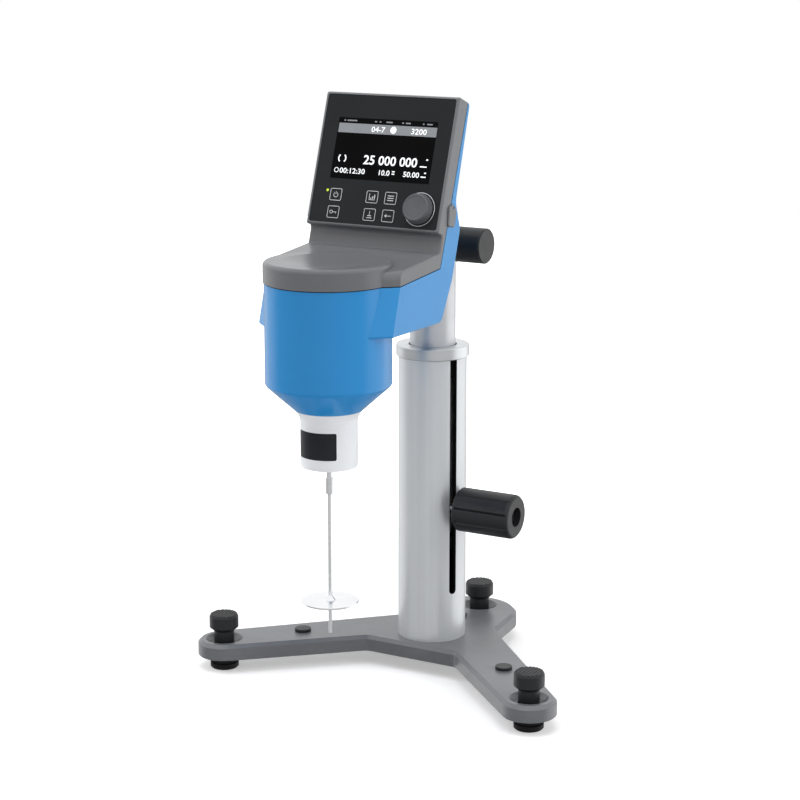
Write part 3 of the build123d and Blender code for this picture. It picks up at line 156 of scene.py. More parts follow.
# ---- mesh helpers --------------------------------------------------------------------------
def piece(name, verts, faces, body, slot, material, smooth=False):
    """A mesh from arrays of corners and faces, riding on a body."""
    mesh = bpy.data.meshes.new(name)
    corners = np.asarray(verts, float).reshape(-1, 3).tolist()
    mesh.from_pydata(corners, [], [list(map(int, f)) for f in faces])
    mesh.polygons.foreach_set("use_smooth", np.full(len(mesh.polygons), smooth))
    mesh.materials.append(material)
    mesh.update()
    obj = bpy.data.objects.new(name, mesh)
    bpy.context.scene.collection.objects.link(obj)
    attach(obj, body)
    return obj


def panel_points(u, v, w):
    """Points of the tilted panel: origin + u right + v up the slope + w outwards."""
    u, v, w = np.broadcast_arrays(u, v, w)
    axes = np.array([panel_right, panel_up, panel_normal])
    return np.array(panel_origin) + np.stack([u, v, w], -1) @ axes


def loop_faces(rows, columns):
    """Quads of a grid whose columns close on themselves; row i runs along the loop."""
    i, j = np.meshgrid(np.arange(rows - 1), np.arange(columns), indexing="ij")
    k = (j + 1) % columns
    here = i * columns
    above = (i + 1) * columns
    return np.stack([here + j, here + k, above + k, above + j], -1).reshape(-1, 4)


def rounded_loop(width, height, r, steps=6):
    """Closed loop of a rounded rectangle: four quarter circles, centre + r (cos a, sin a)."""
    a = np.linspace(0, math.pi / 2, steps)
    quarter = np.arange(4)[:, None] * math.pi / 2 + a[None, :]
    cx = (width / 2 - r) * np.array([1, -1, -1, 1])[:, None]
    cy = (height / 2 - r) * np.array([1, 1, -1, -1])[:, None]
    return np.stack([cx + r * np.cos(quarter), cy + r * np.sin(quarter)], -1).reshape(-1, 2)


def band(loop_out, loop_in, u, v, w0, w1):
    """A closed flat ring between two loops on the panel: four loops joined round the section."""
    loops = [(loop_out, w0), (loop_out, w1), (loop_in, w1), (loop_in, w0)]
    verts = np.concatenate([panel_points(u + lp[:, 0], v + lp[:, 1], w) for lp, w in loops])
    faces = loop_faces(len(loops) + 1, len(loop_out)) % len(verts)
    return verts, faces


def plate(loop, u, v, w0, w1):
    """A closed flat plate on the panel: the loop at two depths and a face on each."""
    n = len(loop)
    verts = np.concatenate([panel_points(u + loop[:, 0], v + loop[:, 1], w) for w in (w0, w1)])
    faces = [list(f) for f in loop_faces(2, n)]
    faces.append(list(range(n, 2 * n)))
    faces.append(list(range(n))[::-1])
    return verts, faces


def joined(parts):
    """Several (corners, faces) pairs as one."""
    verts = []
    faces = []
    count = 0
    for v, f in parts:
        verts.append(np.asarray(v))
        faces += [[int(i) + count for i in face] for face in f]
        count += len(v)
    return np.concatenate(verts), faces


def circle_loop(r, steps=48):
    """Points r (cos a, sin a)."""
    a = np.arange(steps) * 2 * math.pi / steps
    return np.stack([r * np.cos(a), r * np.sin(a)], -1)


def arc_band(r, width, start, stop, u, v, w0, w1, steps=18):
    """An open arc of a flat ring as a closed plate: out along the outer arc, back along the inner."""
    a = np.linspace(start, stop, steps)
    outer = np.stack([(r + width / 2) * np.cos(a), (r + width / 2) * np.sin(a)], -1)
    inner = np.stack([(r - width / 2) * np.cos(a), (r - width / 2) * np.sin(a)], -1)
    return plate(np.concatenate([outer, inner[::-1]]), u, v, w0, w1)


def block(u0, u1, v0, v1, w0, w1, r=0.0):
    """A flat plate between two corners of the panel."""
    r = r or min(u1 - u0, v1 - v0) * bar_corner
    return plate(rounded_loop(u1 - u0, v1 - v0, r, 4), (u0 + u1) / 2, (v0 + v1) / 2, w0, w1)


def bars(table, w0, w1, r):
    """Plates from rows of left end, width, foot and height in millimetres."""
    return [block(u * MM, (u + wide) * MM, v * MM, (v + high) * MM, w0, w1, r) for u, wide, v, high in table]


def digits(text, u, v, height, w, stretch=1.0, weight=0.0):
    """Plain digits laid on the panel, their left foot at (u, v), as (corners, faces)."""
    curve = bpy.data.curves.new("digits", "FONT")
    curve.body = text
    curve.size = height / digit_height
    curve.offset = weight
    curve.resolution_u = digit_steps
    holder = bpy.data.objects.new("digits", curve)
    bpy.context.scene.collection.objects.link(holder)
    bpy.context.view_layer.update()
    shaped = holder.evaluated_get(bpy.context.evaluated_depsgraph_get())
    mesh = bpy.data.meshes.new_from_object(shaped)
    flat = np.zeros(len(mesh.vertices) * 3)
    mesh.vertices.foreach_get("co", flat)
    flat = flat.reshape(-1, 3)
    faces = [list(p.vertices) for p in mesh.polygons]
    bpy.data.objects.remove(holder)
    return panel_points(u + flat[:, 0] * stretch, v + flat[:, 1], w), faces


# ---- colours, as seen under plain light ------------------------------------------------------
def colour(red, green, blue):
    """Linear colour of a tone given in the usual 0 to 255 steps."""
    tone = np.array([red, green, blue]) / 255
    linear = np.where(tone <= 0.04045, tone / 12.92, ((tone + 0.055) / 1.055) ** 2.4)
    return (*linear.tolist(), 1.0)


casing_blue = colour(34, 140, 205)
casing_blue_deep = colour(28, 130, 196)
cover_grey = colour(109, 110, 113)
cover_grey_deep = colour(97, 98, 101)
foil_black = colour(38, 40, 42)
foil_black_deep = colour(33, 35, 37)
glass_black = colour(5, 5, 6)
mark_white = colour(226, 229, 231)
mark_white_deep = colour(206, 209, 211)
bar_grey = colour(118, 121, 125)
paint_grey = colour(100, 102, 106)
paint_grey_deep = colour(88, 90, 94)
nose_white = colour(238, 240, 242)
nose_white_deep = colour(228, 230, 233)
label_black = colour(34, 36, 40)
black_moulding = colour(26, 27, 29)
black_moulding_light = colour(36, 37, 40)
rubber_black = colour(14, 14, 15)
rubber_black_light = colour(20, 20, 21)
column_silver = colour(216, 219, 221)
column_silver_deep = colour(209, 212, 214)
tube_silver = colour(206, 208, 211)
tube_silver_deep = colour(198, 200, 203)
bright_silver = colour(240, 241, 243)
bright_silver_deep = colour(230, 231, 233)
steel_grey = colour(160, 161, 164)
steel_grey_deep = colour(140, 141, 144)
zinc_grey_deep = colour(140, 142, 146)
# near black: the bush's own black, and the painted shade inside the column's bore
bush_black_and_bore_shade = colour(6, 6, 7)
knob_grey = colour(92, 94, 97)
knob_grey_deep = colour(74, 76, 79)
brass_tone = colour(196, 164, 98)
brass_tone_deep = colour(176, 142, 80)
bronze_tone = colour(168, 120, 70)
bronze_tone_deep = colour(140, 98, 54)
board_green = colour(24, 88, 54)
board_green_deep = colour(16, 66, 40)
light_green = colour(190, 214, 60)
floor_white = colour(228, 228, 229)
floor_white_deep = colour(222, 222, 223)
column_metallic = 0.42    # anodised: more than half of its light comes back scattered
# the bore inside this radius gets a painted shade, near black
column_skin_r = 29.85 * MM    # what lies nearer to the column's axis is its bore
lit_paler = 1.06          # the paler tone of a lit mark, and of the glass
glass_paler = 1.7


# ---- shader node groups shared by the materials ------------------------------------------------
mix_share = 0             # sockets of the colour mix node
mix_a = 6
mix_b = 7
mix_result = 2


def group(name, inputs, outputs):
    """An empty node group with float or colour sockets."""
    tree = bpy.data.node_groups.new(name, "ShaderNodeTree")
    for label, kind, value in inputs:
        socket = tree.interface.new_socket(label, in_out="INPUT", socket_type=kind)
        if value is not None:
            socket.default_value = value
    for label, kind in outputs:
        tree.interface.new_socket(label, in_out="OUTPUT", socket_type=kind)
    tree.nodes.new("NodeGroupInput")
    tree.nodes.new("NodeGroupOutput")
    return tree


def node(tree, kind, values=(), links=(), **settings):
    """A node with its settings, socket values and incoming links."""
    made = tree.nodes.new(kind)
    for key, value in settings.items():
        setattr(made, key, value)
    for key, value in dict(values).items():
        made.inputs[key].default_value = value
    for key, source in dict(links).items():
        tree.links.new(source, made.inputs[key])
    return made


def mixed(tree, share, first, second):
    """The first colour that turns into the second as the share goes from 0 to 1."""
    values = {}
    links = {mix_share: share}
    for socket, source in ((mix_a, first), (mix_b, second)):
        (values if isinstance(source, tuple) else links)[socket] = source
    return node(tree, "ShaderNodeMix", values, links, data_type="RGBA").outputs[mix_result]


def ends(tree):
    """The group's own input and output nodes."""
    start = next(n for n in tree.nodes if n.bl_idname == "NodeGroupInput")
    stop = next(n for n in tree.nodes if n.bl_idname == "NodeGroupOutput")
    return start, stop


def moulded_grain_group():
    """Moulded or painted skin: fine pebbles for the height, slow clouds for the tone.
    Height = fine noise x 0.7 + cells x 0.3; Tone = slow noise; Sheen = medium noise."""
    tree = group(
        "moulded_grain",
        [("Pebble", "NodeSocketFloat", 2600.0), ("Cloud", "NodeSocketFloat", 14.0)],
        [("Height", "NodeSocketFloat"), ("Tone", "NodeSocketFloat"), ("Sheen", "NodeSocketFloat")],
    )
    start, stop = ends(tree)
    place = node(tree, "ShaderNodeTexCoord").outputs["Object"]
    pebble = start.outputs["Pebble"]
    slow = start.outputs["Cloud"]
    fine = node(tree, "ShaderNodeTexNoise", {"Detail": 2.0}, {"Vector": place, "Scale": pebble})
    cells = node(tree, "ShaderNodeTexVoronoi", {}, {"Vector": place, "Scale": pebble})
    cloud = node(tree, "ShaderNodeTexNoise", {"Detail": 3.0}, {"Vector": place, "Scale": slow})
    broad = node(tree, "ShaderNodeMath", {1: 9.0}, {0: slow}, operation="MULTIPLY")
    sheen = node(tree, "ShaderNodeTexNoise", {"Detail": 4.0}, {"Vector": place, "Scale": broad.outputs[0]})
    low = node(tree, "ShaderNodeMath", {1: 0.7}, {0: fine.outputs["Fac"]}, operation="MULTIPLY")
    both = node(tree, "ShaderNodeMath", {1: 0.3}, {0: cells.outputs["Distance"], 2: low.outputs[0]},
                operation="MULTIPLY_ADD")
    tree.links.new(both.outputs[0], stop.inputs["Height"])
    tree.links.new(cloud.outputs["Fac"], stop.inputs["Tone"])
    tree.links.new(sheen.outputs["Fac"], stop.inputs["Sheen"])
    return tree


def drawn_metal_group():
    """Drawn or turned metal: noise stretched along or round the axis.
    Height = noise of the place scaled by Stretch; Tone = the same, slower; Cloud = slow blotches."""
    tree = group(
        "drawn_metal",
        [("Stretch", "NodeSocketVector", (900.0, 900.0, 12.0)), ("Cloud", "NodeSocketFloat", 18.0)],
        [("Height", "NodeSocketFloat"), ("Tone", "NodeSocketFloat"), ("Blotch", "NodeSocketFloat")],
    )
    start, stop = ends(tree)
    place = node(tree, "ShaderNodeTexCoord").outputs["Object"]
    stretch = start.outputs["Stretch"]
    scaled = node(tree, "ShaderNodeVectorMath", {}, {0: place, 1: stretch}, operation="MULTIPLY").outputs[0]
    fine = node(tree, "ShaderNodeTexNoise", {"Scale": 1.0, "Detail": 3.0}, {"Vector": scaled})
    slower = node(tree, "ShaderNodeTexNoise", {"Scale": 0.23, "Detail": 2.0}, {"Vector": scaled})
    slow = start.outputs["Cloud"]
    cloud = node(tree, "ShaderNodeTexNoise", {"Detail": 2.0}, {"Vector": place, "Scale": slow})
    tree.links.new(fine.outputs["Fac"], stop.inputs["Height"])
    tree.links.new(slower.outputs["Fac"], stop.inputs["Tone"])
    tree.links.new(cloud.outputs["Fac"], stop.inputs["Blotch"])
    return tree


moulded_grain = moulded_grain_group()
drawn_metal = drawn_metal_group()


# ---- material makers ---------------------------------------------------------------------------
def material(name):
    """A material with an empty Principled BSDF: (material, tree, shader)."""
    made = bpy.data.materials.new(name)
    made.use_nodes = True
    tree = made.node_tree
    shader = next(n for n in tree.nodes if n.bl_idname == "ShaderNodeBsdfPrincipled")
    return made, tree, shader


def placed(tree, shared, **values):
    """A shared group placed in a material with its own values."""
    made = node(tree, "ShaderNodeGroup", node_tree=shared)
    for key, value in values.items():
        made.inputs[key].default_value = value
    return made


def two_tones(tree, factor, dark, light, low=0.3, high=0.7):
    """Colour that runs from dark to light as the factor goes from low to high."""
    ramp = node(tree, "ShaderNodeValToRGB", {}, {"Fac": factor})
    ramp.color_ramp.elements[0].position = low
    ramp.color_ramp.elements[0].color = dark
    ramp.color_ramp.elements[1].position = high
    ramp.color_ramp.elements[1].color = light
    return ramp.outputs["Color"]


def spread(tree, factor, low, high):
    """A value from low to high as the factor goes from 0.25 to 0.75."""
    limits = {"From Min": 0.25, "From Max": 0.75, "To Min": low, "To Max": high}
    run = node(tree, "ShaderNodeMapRange", limits, {"Value": factor})
    return run.outputs["Result"]


def bumped(tree, shader, height, depth):
    """A bump of the given depth in metres on the shader's normal."""
    bump = node(tree, "ShaderNodeBump", {"Strength": 1.0, "Distance": depth}, {"Height": height})
    tree.links.new(bump.outputs["Normal"], shader.inputs["Normal"])


def moulded(name, dark, light, rough, pebble=2600.0, depth=0.00002, specular=0.5, uneven=0.05,
            cloud=14.0):
    """Moulded plastic, paint or rubber with a fine grain, a slow drift of tone and uneven gloss."""
    made, tree, shader = material(name)
    grain = placed(tree, moulded_grain, Pebble=pebble, Cloud=cloud)
    tree.links.new(two_tones(tree, grain.outputs["Tone"], dark, light), shader.inputs["Base Color"])
    gloss = spread(tree, grain.outputs["Sheen"], rough - uneven, rough + uneven)
    tree.links.new(gloss, shader.inputs["Roughness"])
    shader.inputs["Specular IOR Level"].default_value = specular
    bumped(tree, shader, grain.outputs["Height"], depth)
    return made


def metal(name, dark, light, rough, stretch, depth=0.000006, cloud=18.0, metallic=1.0, uneven=0.06):
    """Drawn, turned or ground metal with fine lines along or round its axis. Its tone is 0.6 lines and
    0.4 blotches."""
    made, tree, shader = material(name)
    lines = placed(tree, drawn_metal, Stretch=stretch, Cloud=cloud)
    most = node(tree, "ShaderNodeMath", {1: 0.6}, {0: lines.outputs["Tone"]}, operation="MULTIPLY").outputs[0]
    whole = node(tree, "ShaderNodeMath", {1: 0.4}, {0: lines.outputs["Blotch"], 2: most},
                 operation="MULTIPLY_ADD").outputs[0]
    tree.links.new(two_tones(tree, whole, dark, light, 0.35, 0.65), shader.inputs["Base Color"])
    gloss = spread(tree, lines.outputs["Height"], rough - uneven, rough + uneven)
    tree.links.new(gloss, shader.inputs["Roughness"])
    shader.inputs["Metallic"].default_value = metallic
    bumped(tree, shader, lines.outputs["Height"], depth)
    return made


def column_metal():
    """Satin column: fine lines along the axis outside, and inside, on its bore, a painted shade: near black and
    not metallic.
    """
    made, tree, shader = material("satin_column")
    lines = placed(tree, drawn_metal, Stretch=(900.0, 900.0, 4.0), Cloud=10.0)
    outside = two_tones(tree, lines.outputs["Tone"], column_silver_deep, column_silver, 0.3, 0.7)
    place = node(tree, "ShaderNodeTexCoord").outputs["Object"]
    centre = (column_axis.x, column_axis.y, 0.0)
    moved = node(tree, "ShaderNodeVectorMath", {1: centre}, {0: place}, operation="SUBTRACT")
    level = (1.0, 1.0, 0.0)
    flat = node(tree, "ShaderNodeVectorMath", {1: level}, {0: moved.outputs[0]}, operation="MULTIPLY")
    far = node(tree, "ShaderNodeVectorMath", {}, {0: flat.outputs[0]}, operation="LENGTH").outputs["Value"]
    skin = node(tree, "ShaderNodeMath", {1: column_skin_r}, {0: far}, operation="GREATER_THAN").outputs[0]
    # inside column_skin_r the bore gets a painted shade: near black and not metallic
    tree.links.new(mixed(tree, skin, bush_black_and_bore_shade, outside), shader.inputs["Base Color"])
    satin = node(tree, "ShaderNodeMath", {1: column_metallic}, {0: skin}, operation="MULTIPLY")
    tree.links.new(satin.outputs[0], shader.inputs["Metallic"])
    gloss = spread(tree, lines.outputs["Height"], 0.30, 0.36)
    tree.links.new(gloss, shader.inputs["Roughness"])
    bumped(tree, shader, lines.outputs["Height"], 0.0000008)
    return made


def glowing(name, tone, strength, rough=0.35):
    """A lit mark: its colour a little uneven, and emitting."""
    made, tree, shader = material(name)
    grain = placed(tree, moulded_grain, Pebble=3000.0, Cloud=300.0)
    paler = tuple(min(1.0, c * lit_paler) for c in tone[:3]) + (1.0,)
    shade = two_tones(tree, grain.outputs["Tone"], tone, paler)
    tree.links.new(shade, shader.inputs["Base Color"])
    tree.links.new(shade, shader.inputs["Emission Color"])
    shader.inputs["Emission Strength"].default_value = strength
    shader.inputs["Roughness"].default_value = rough
    return made


def display_glass():
    """Dark display glass: black, glossy, with a slight haze."""
    made, tree, shader = material("display_glass")
    grain = placed(tree, moulded_grain, Pebble=1800.0, Cloud=26.0)
    paler = tuple(c * glass_paler for c in glass_black[:3]) + (1.0,)
    tree.links.new(two_tones(tree, grain.outputs["Tone"], glass_black, paler), shader.inputs["Base Color"])
    tree.links.new(spread(tree, grain.outputs["Sheen"], 0.22, 0.32), shader.inputs["Roughness"])
    shader.inputs["Specular IOR Level"].default_value = 0.04
    return made


paint = moulded("powder_paint", paint_grey_deep, paint_grey, 0.32,
                pebble=1500.0, depth=0.00001, specular=0.9, uneven=0.03)
blue_casing = moulded("blue_casing", casing_blue_deep, casing_blue, 0.2,
                      depth=0.000002, uneven=0.015, cloud=5.0)
grey_casing = moulded("grey_casing", cover_grey_deep, cover_grey, 0.3,
                      depth=0.000002, uneven=0.015, cloud=6.0)
black_plastic = moulded("black_moulding", black_moulding, black_moulding_light, 0.40,
                        pebble=1900.0, specular=0.35)
bush_plastic = moulded("bush_plastic", bush_black_and_bore_shade, bush_black_and_bore_shade, 0.6, specular=0.05)
rubber = moulded("rubber", rubber_black, rubber_black_light, 0.66, pebble=1400.0, specular=0.25)
white_plastic = moulded("white_nose", nose_white_deep, nose_white, 0.36, depth=0.000006, cloud=9.0)
foil_skin = moulded("panel_foil", foil_black_deep, foil_black, 0.5,
                    pebble=3200.0, depth=0.00001, specular=0.12)
key_skin = moulded("key_foil", foil_black_deep, foil_black, 0.5, pebble=3200.0, specular=0.12, cloud=60.0)
label_film = moulded("label_film", label_black, foil_black, 0.4, specular=0.15, cloud=30.0)
menu_rubber = moulded("menu_knob", knob_grey_deep, knob_grey, 0.5, pebble=2400.0, cloud=40.0)
board_laminate = moulded("board_laminate", board_green_deep, board_green, 0.4, cloud=60.0)
column_skin = column_metal()
collar_skin = metal("satin_collar", column_silver_deep, column_silver, 0.34, (60.0, 60.0, 900.0),
                    depth=0.0000006)
tube_skin = metal("ground_tube", tube_silver_deep, tube_silver, 0.33, (30.0, 30.0, 300.0),
                  depth=0.0, metallic=0.6)
plain_steel = metal("machined_steel", steel_grey_deep, steel_grey, 0.34, (700.0, 700.0, 700.0))
bright_steel = metal("polished_steel", bright_silver_deep, bright_silver, 0.18, (220.0, 220.0, 1800.0),
                     depth=0.000002)
zinc = metal("plated_zinc", zinc_grey_deep, column_silver_deep, 0.4, (500.0, 500.0, 500.0))
brass = metal("machined_brass", brass_tone_deep, brass_tone, 0.3, (600.0, 600.0, 1500.0))
bronze = metal("spring_bronze", bronze_tone_deep, bronze_tone, 0.3, (400.0, 400.0, 400.0))
glass = display_glass()
mark_print = moulded("white_print", mark_white_deep, mark_white, 0.5, cloud=400.0)
lit_white = glowing("lit_figures", mark_white, 0.55)
lit_grey = glowing("lit_bar", bar_grey, 0.35)
lit_green = glowing("status_lamp", light_green, 0.6)

finishes = {
    "plate_paint": paint, "plug_plastic": black_plastic, "column_metal": column_skin,
    "collar_metal": collar_skin, "tube_metal": tube_skin, "black_plastic": black_plastic, "rubber": rubber,
    "brass": brass, "steel": plain_steel, "bright_steel": bright_steel, "white_plastic": white_plastic,
    "bush_plastic": bush_plastic, "blue_plastic": blue_casing, "grey_plastic": grey_casing,
    "foil": foil_skin, "screen_glass": glass, "key_plastic": key_skin, "knob_grey": menu_rubber,
    "board": board_laminate, "zinc": zinc, "spring_bronze": bronze,
}


def dress_nodes():
    """Every CAD node gets the material of its slot in the record."""
    for part in frame["record"]["subparts"]:
        obj = frame["nodes"][part["node"]]
        obj.data.materials.clear()
        obj.data.materials.append(finishes[part["material_slot"]])


# ---- the display's picture, key marks, ring, lamp and label ---------------------------------------
def add_screen():
    """A generic reading: a grey bar, plain figures and small bars where words would be."""
    w0 = foil_face - ink / 2
    w1 = foil_face + ink
    left = screen_left + bar_inset
    right = screen_right - bar_inset
    bar = block(left, right, bar_low, bar_high, w0, w1 - ink / 2, bar_round)
    piece("screen_bar", *bar, "head", "screen_glass", lit_grey)
    icons = bars(screen_icons, w0, w1, icon_round)
    piece("screen_icons", *joined(icons), "head", "screen_glass", lit_grey)
    figures = [digits(text, u * MM, v * MM, height * MM, w1, stretch, weight)
               for text, u, v, height, stretch, weight in screen_figures]
    piece("screen_figures", *joined(figures), "head", "screen_glass", lit_white)
    units = bars(unit_bars, w0, w1, unit_round)
    units += [arc_band(r * MM, wide * MM, start, stop, u * MM, v * MM, w0, w1)
              for r, wide, start, stop, u, v in screen_arcs]
    piece("screen_marks", *joined(units), "head", "screen_glass", lit_white)
    disc = plate(circle_loop(disc_r, disc_sides), *disc_place, w0, w1)
    piece("screen_disc", *disc, "head", "screen_glass", lit_white)


def key_marks(name):
    """A thin rounded outline on a key, with a small plain sign inside."""
    place = Vector(joint(f"key_{name}_press")["pos_m"]) - panel_origin
    u = place.dot(panel_right)
    v = place.dot(panel_up)
    w0 = foil_face - ink / 2
    w1 = foil_face + ink
    wide, high, r = key_outline
    inner = rounded_loop(wide - 2 * key_line, high - 2 * key_line, r - key_line)
    parts = [band(rounded_loop(wide, high, r), inner, u, v, w0, w1)]
    sign = key_signs[name]
    parts += [arc_band(arc_r * MM, mark_line, start, stop, u + du * MM, v + dv * MM, w0, w1)
              for arc_r, start, stop, du, dv in sign.get("arcs", ())]
    parts += [block(u + u0 * MM, u + u1 * MM, v + v0 * MM, v + v1 * MM, w0, w1)
              for u0, u1, v0, v1 in sign["bars"]]
    parts += [plate(np.array(outline) * MM, u, v, w0, w1) for outline in sign.get("outlines", ())]
    piece(f"marks_{name}", *joined(parts), f"key_{name}", "key_plastic", mark_print)


def add_menu_ring():
    """The pale printed ring round the menu knob."""
    w0 = foil_face - ink / 2
    inner = circle_loop(menu_ring_r - menu_ring_w, menu_ring_sides)
    outer = circle_loop(menu_ring_r, menu_ring_sides)
    ring = band(outer, inner, menu_u, menu_v, w0, foil_face + ink)
    piece("menu_ring", *ring, "head", "foil", mark_print)


def add_status_lamp():
    """A small domed lens: rings of radius r cos t at height r sin t / 2."""
    t = np.linspace(0, light_top, light_rings)
    a = np.arange(light_sides) * 2 * math.pi / light_sides
    r = light_r * np.cos(t)[:, None]
    u = light_place[0] + r * np.cos(a)
    v = light_place[1] + r * np.sin(a)
    w = foil_face - ink + (light_r * np.sin(t) / 2)[:, None] + 0 * a
    faces = [list(f) for f in loop_faces(light_rings, light_sides)]
    faces.append(list(range((light_rings - 1) * light_sides, light_rings * light_sides)))
    faces.append(list(range(light_sides))[::-1])
    piece("status_lamp", panel_points(u, v, w), faces, "head", "foil", lit_green, smooth=True)


def add_nose_label():
    """A bare dark label wrapped on the nose: r (cos a, sin a) about the spindle's axis. Near each end
    its height shrinks along a quarter circle, which rounds the corners."""
    columns = label_columns
    a = -math.pi / 2 + np.linspace(-label_half, label_half, columns)
    run = (label_half - np.abs(a + math.pi / 2)) * nose_r
    short = label_corner - np.clip(run, 0, label_corner)
    cut = label_corner - np.sqrt(label_corner ** 2 - short ** 2)
    low = label_low + cut
    high = label_high - cut
    rows = []
    for r, z in ((nose_r, low), (nose_r + label_skin, low), (nose_r + label_skin, high), (nose_r, high)):
        x = spindle_axis.x + r * np.cos(a)
        y = spindle_axis.y + r * np.sin(a)
        rows.append(np.stack([x, y, z + 0 * a], -1))
    verts = np.concatenate(rows)
    k = np.arange(columns - 1)
    faces = []
    for i in range(4):
        here = i * columns + k
        above = (i + 1) % 4 * columns + k
        faces += np.stack([here, here + 1, above + 1, above], -1).tolist()
    last = columns - 1
    faces.append([0, columns, 2 * columns, 3 * columns])
    faces.append([3 * columns + last, 2 * columns + last, columns + last, last])
    piece("nose_label", verts, faces, "head", "white_plastic", label_film)


# ---- floor, light and camera -------------------------------------------------------------------------
floor_radii = (0.4, 1.0, 2.0, 3.0)
floor_sides = 96
# glow_near is kept low: a painted shade on the floor round the object's foot
glow_near = 0.38          # the floor's own light up to glow_start from the middle
glow_far = 1.1            # and from glow_end outwards
glow_start = 0.3
glow_end = 0.8
fill_light = 0.52
studio_sky = 1.1
sky_start = -0.06         # sine of the height where the sky begins to take over from the wall
sky_end = 0.1
dim_start = -0.8          # sine of the height up to which the wall is dimmed, and where that ends
dim_end = -0.35
dim_share = 0.3
studio_ahead = (0.5, -0.866, 0.0)   # level, towards the front right corner, and square to it
studio_aside = (0.866, 0.5, 0.0)
studio_wall = (  # bearing in degrees from the front right corner, anticlockwise from above, and brightness
    (-180.0, 0.45), (-163.0, 0.45), (-150.0, 1.05), (-112.0, 1.05), (-102.0, 0.50), (-82.0, 0.46),
    (-27.0, 0.56), (0.0, 0.62), (34.0, 0.60), (66.0, 0.52), (80.0, 1.30), (130.0, 1.50),
    (148.0, 0.70), (180.0, 0.50),
)
lamps = (  # name, place, what it looks at, width and height, power
    ("soft_right", (2.3, 0.3, 1.3), (0.0, -0.05, 0.25), (1.4, 1.6), 22.0),
    ("soft_left", (-2.2, -0.4, 1.3), (0.0, -0.05, 0.25), (1.2, 1.6), 22.0),
    ("soft_top", (0.0, -0.5, 2.6), (0.0, -0.05, 0.2), (2.0, 2.0), 38.0),
)
camera_place = (0.9104, -1.5803, 0.658)
camera_down = math.radians(12.6)
camera_turn = math.radians(30.0)
camera_lens = 98.14       # and the sensor's width, both in millimetres
camera_sensor = 36.0
camera_reach = 60.0


def add_floor():
    """A pale round floor that glows white where the camera sees it and still takes the shadow; its glow is weaker
    near the middle, a painted shade round the object.
    """
    a = np.arange(floor_sides) * 2 * math.pi / floor_sides
    radii = np.array(floor_radii)[:, None]
    grid = np.stack([radii * np.cos(a), radii * np.sin(a), 0 * radii * a], -1).reshape(-1, 3)
    mesh = bpy.data.meshes.new("floor")
    faces = [list(f) for f in loop_faces(len(floor_radii), floor_sides)]
    faces.append(list(range(floor_sides)))
    mesh.from_pydata(grid.tolist(), [], faces)
    obj = bpy.data.objects.new("floor", mesh)
    bpy.context.scene.collection.objects.link(obj)
    made, tree, shader = material("pale_floor")
    place = node(tree, "ShaderNodeTexCoord").outputs["Object"]
    noise = node(tree, "ShaderNodeTexNoise", {"Scale": 3.0}, {"Vector": place})
    shade = two_tones(tree, noise.outputs["Fac"], floor_white_deep, floor_white)
    tree.links.new(shade, shader.inputs["Base Color"])
    shader.inputs["Roughness"].default_value = 0.7
    shader.inputs["Specular IOR Level"].default_value = 0.1
    seen = node(tree, "ShaderNodeLightPath").outputs["Is Camera Ray"]
    far = node(tree, "ShaderNodeVectorMath", {}, {0: place}, operation="LENGTH").outputs["Value"]
    # the glow is weakest near the middle: a painted shade round the object's foot
    limits = {"From Min": glow_start, "From Max": glow_end, "To Min": glow_near, "To Max": glow_far}
    lift = node(tree, "ShaderNodeMapRange", limits, {"Value": far}, interpolation_type="SMOOTHSTEP")
    glow = node(tree, "ShaderNodeMath", {}, {0: seen, 1: lift.outputs["Result"]}, operation="MULTIPLY")
    tree.links.new(glow.outputs[0], shader.inputs["Emission Strength"])
    shader.inputs["Emission Color"].default_value = (1.0, 1.0, 1.0, 1.0)
    obj.visible_glossy = False
    mesh.materials.append(made)


def grey_light(level):
    """An even grey of that brightness."""
    return (level, level, level, 1.0)


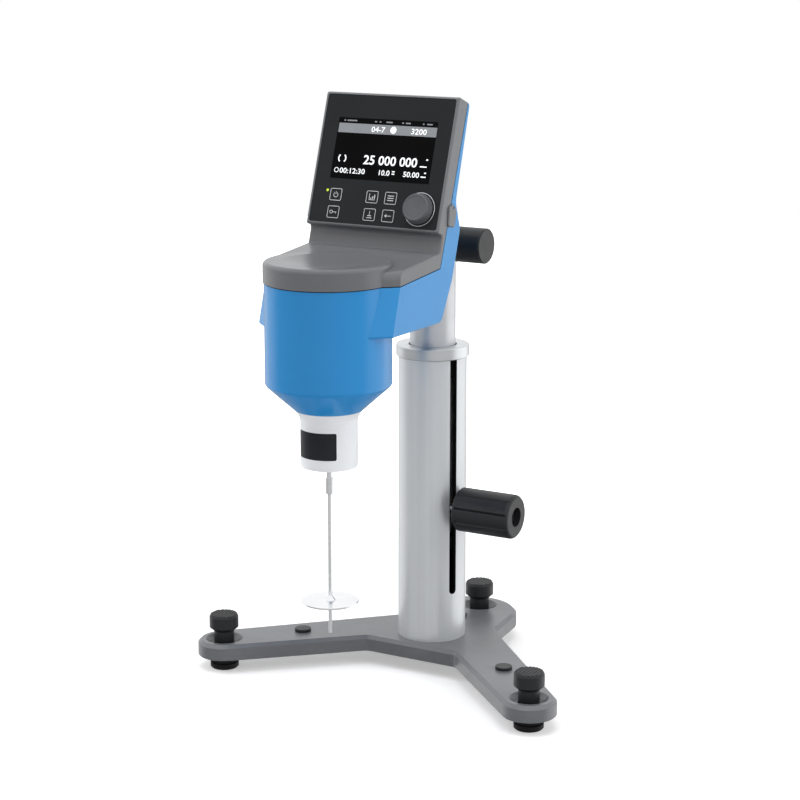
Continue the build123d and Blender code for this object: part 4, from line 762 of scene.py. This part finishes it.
def add_world():
    """White where it is seen, a plain soft fill, and for mirrors a studio round the object: above the
    horizon an even sky, below it a wall that is darker in front and behind and brighter at both sides,
    and straight below a dim floor."""
    world = bpy.data.worlds.new("studio")
    bpy.context.scene.world = world
    world.use_nodes = True
    tree = world.node_tree
    back = next(n for n in tree.nodes if n.bl_idname == "ShaderNodeBackground")
    way = node(tree, "ShaderNodeTexCoord").outputs["Generated"]
    ahead = node(tree, "ShaderNodeVectorMath", {1: studio_ahead}, {0: way}, operation="DOT_PRODUCT")
    aside = node(tree, "ShaderNodeVectorMath", {1: studio_aside}, {0: way}, operation="DOT_PRODUCT")
    angle = node(tree, "ShaderNodeMath", {}, {0: aside.outputs["Value"], 1: ahead.outputs["Value"]},
                 operation="ARCTAN2").outputs[0]
    turn = node(tree, "ShaderNodeMapRange", {"From Min": -math.pi, "From Max": math.pi}, {"Value": angle})
    ramp = node(tree, "ShaderNodeValToRGB", {}, {"Fac": turn.outputs["Result"]})
    marks = ramp.color_ramp.elements
    while len(marks) < len(studio_wall):
        marks.new(0.5)
    for mark, (degrees, bright) in zip(marks, studio_wall):
        mark.position = (degrees + 180.0) / 360.0
        mark.color = (bright, bright, bright, 1.0)
    height = node(tree, "ShaderNodeSeparateXYZ", {}, {0: way}).outputs["Z"]
    sky_limits = {"From Min": sky_start, "From Max": sky_end}
    above = node(tree, "ShaderNodeMapRange", sky_limits, {"Value": height},
                 interpolation_type="SMOOTHSTEP").outputs["Result"]
    dim_limits = {"From Min": dim_start, "From Max": dim_end, "To Min": dim_share}
    below = node(tree, "ShaderNodeMapRange", dim_limits, {"Value": height},
                 interpolation_type="SMOOTHSTEP").outputs["Result"]
    wall = node(tree, "ShaderNodeVectorMath", {}, {0: ramp.outputs["Color"], 1: below}, operation="MULTIPLY")
    studio = mixed(tree, above, wall.outputs[0], grey_light(studio_sky))
    path = node(tree, "ShaderNodeLightPath").outputs
    seen = node(tree, "ShaderNodeMath", {}, {0: path["Is Camera Ray"], 1: path["Is Transmission Ray"]},
                operation="MAXIMUM")
    fill = mixed(tree, path["Is Glossy Ray"], grey_light(fill_light), studio)
    whole = mixed(tree, seen.outputs[0], fill, grey_light(1.0))
    tree.links.new(whole, back.inputs["Color"])


def add_lamp(name, place, target, size, power):
    """A square soft box that looks at a point."""
    data = bpy.data.lights.new(name, "AREA")
    data.shape = "RECTANGLE"
    data.size, data.size_y = size
    data.energy = power
    obj = bpy.data.objects.new(name, data)
    obj.location = place
    obj.visible_glossy = False
    obj.rotation_mode = "QUATERNION"
    obj.rotation_quaternion = (Vector(target) - Vector(place)).to_track_quat("-Z", "Y")
    bpy.context.scene.collection.objects.link(obj)


def add_camera():
    """A long lens on a tripod, a little above the head."""
    data = bpy.data.cameras.new("camera")
    data.sensor_width = camera_sensor
    data.lens = camera_lens
    data.clip_end = camera_reach
    obj = bpy.data.objects.new("camera", data)
    obj.location = camera_place
    obj.rotation_euler = (math.pi / 2 - camera_down, 0.0, camera_turn)
    bpy.context.scene.collection.objects.link(obj)
    bpy.context.scene.camera = obj


dress_nodes()
add_screen()
for key_name in key_signs:
    key_marks(key_name)
add_menu_ring()
add_status_lamp()
add_nose_label()
add_floor()
add_world()
for lamp in lamps:
    add_lamp(*lamp)
add_camera()
bpy.context.scene.view_settings.view_transform = "Standard"
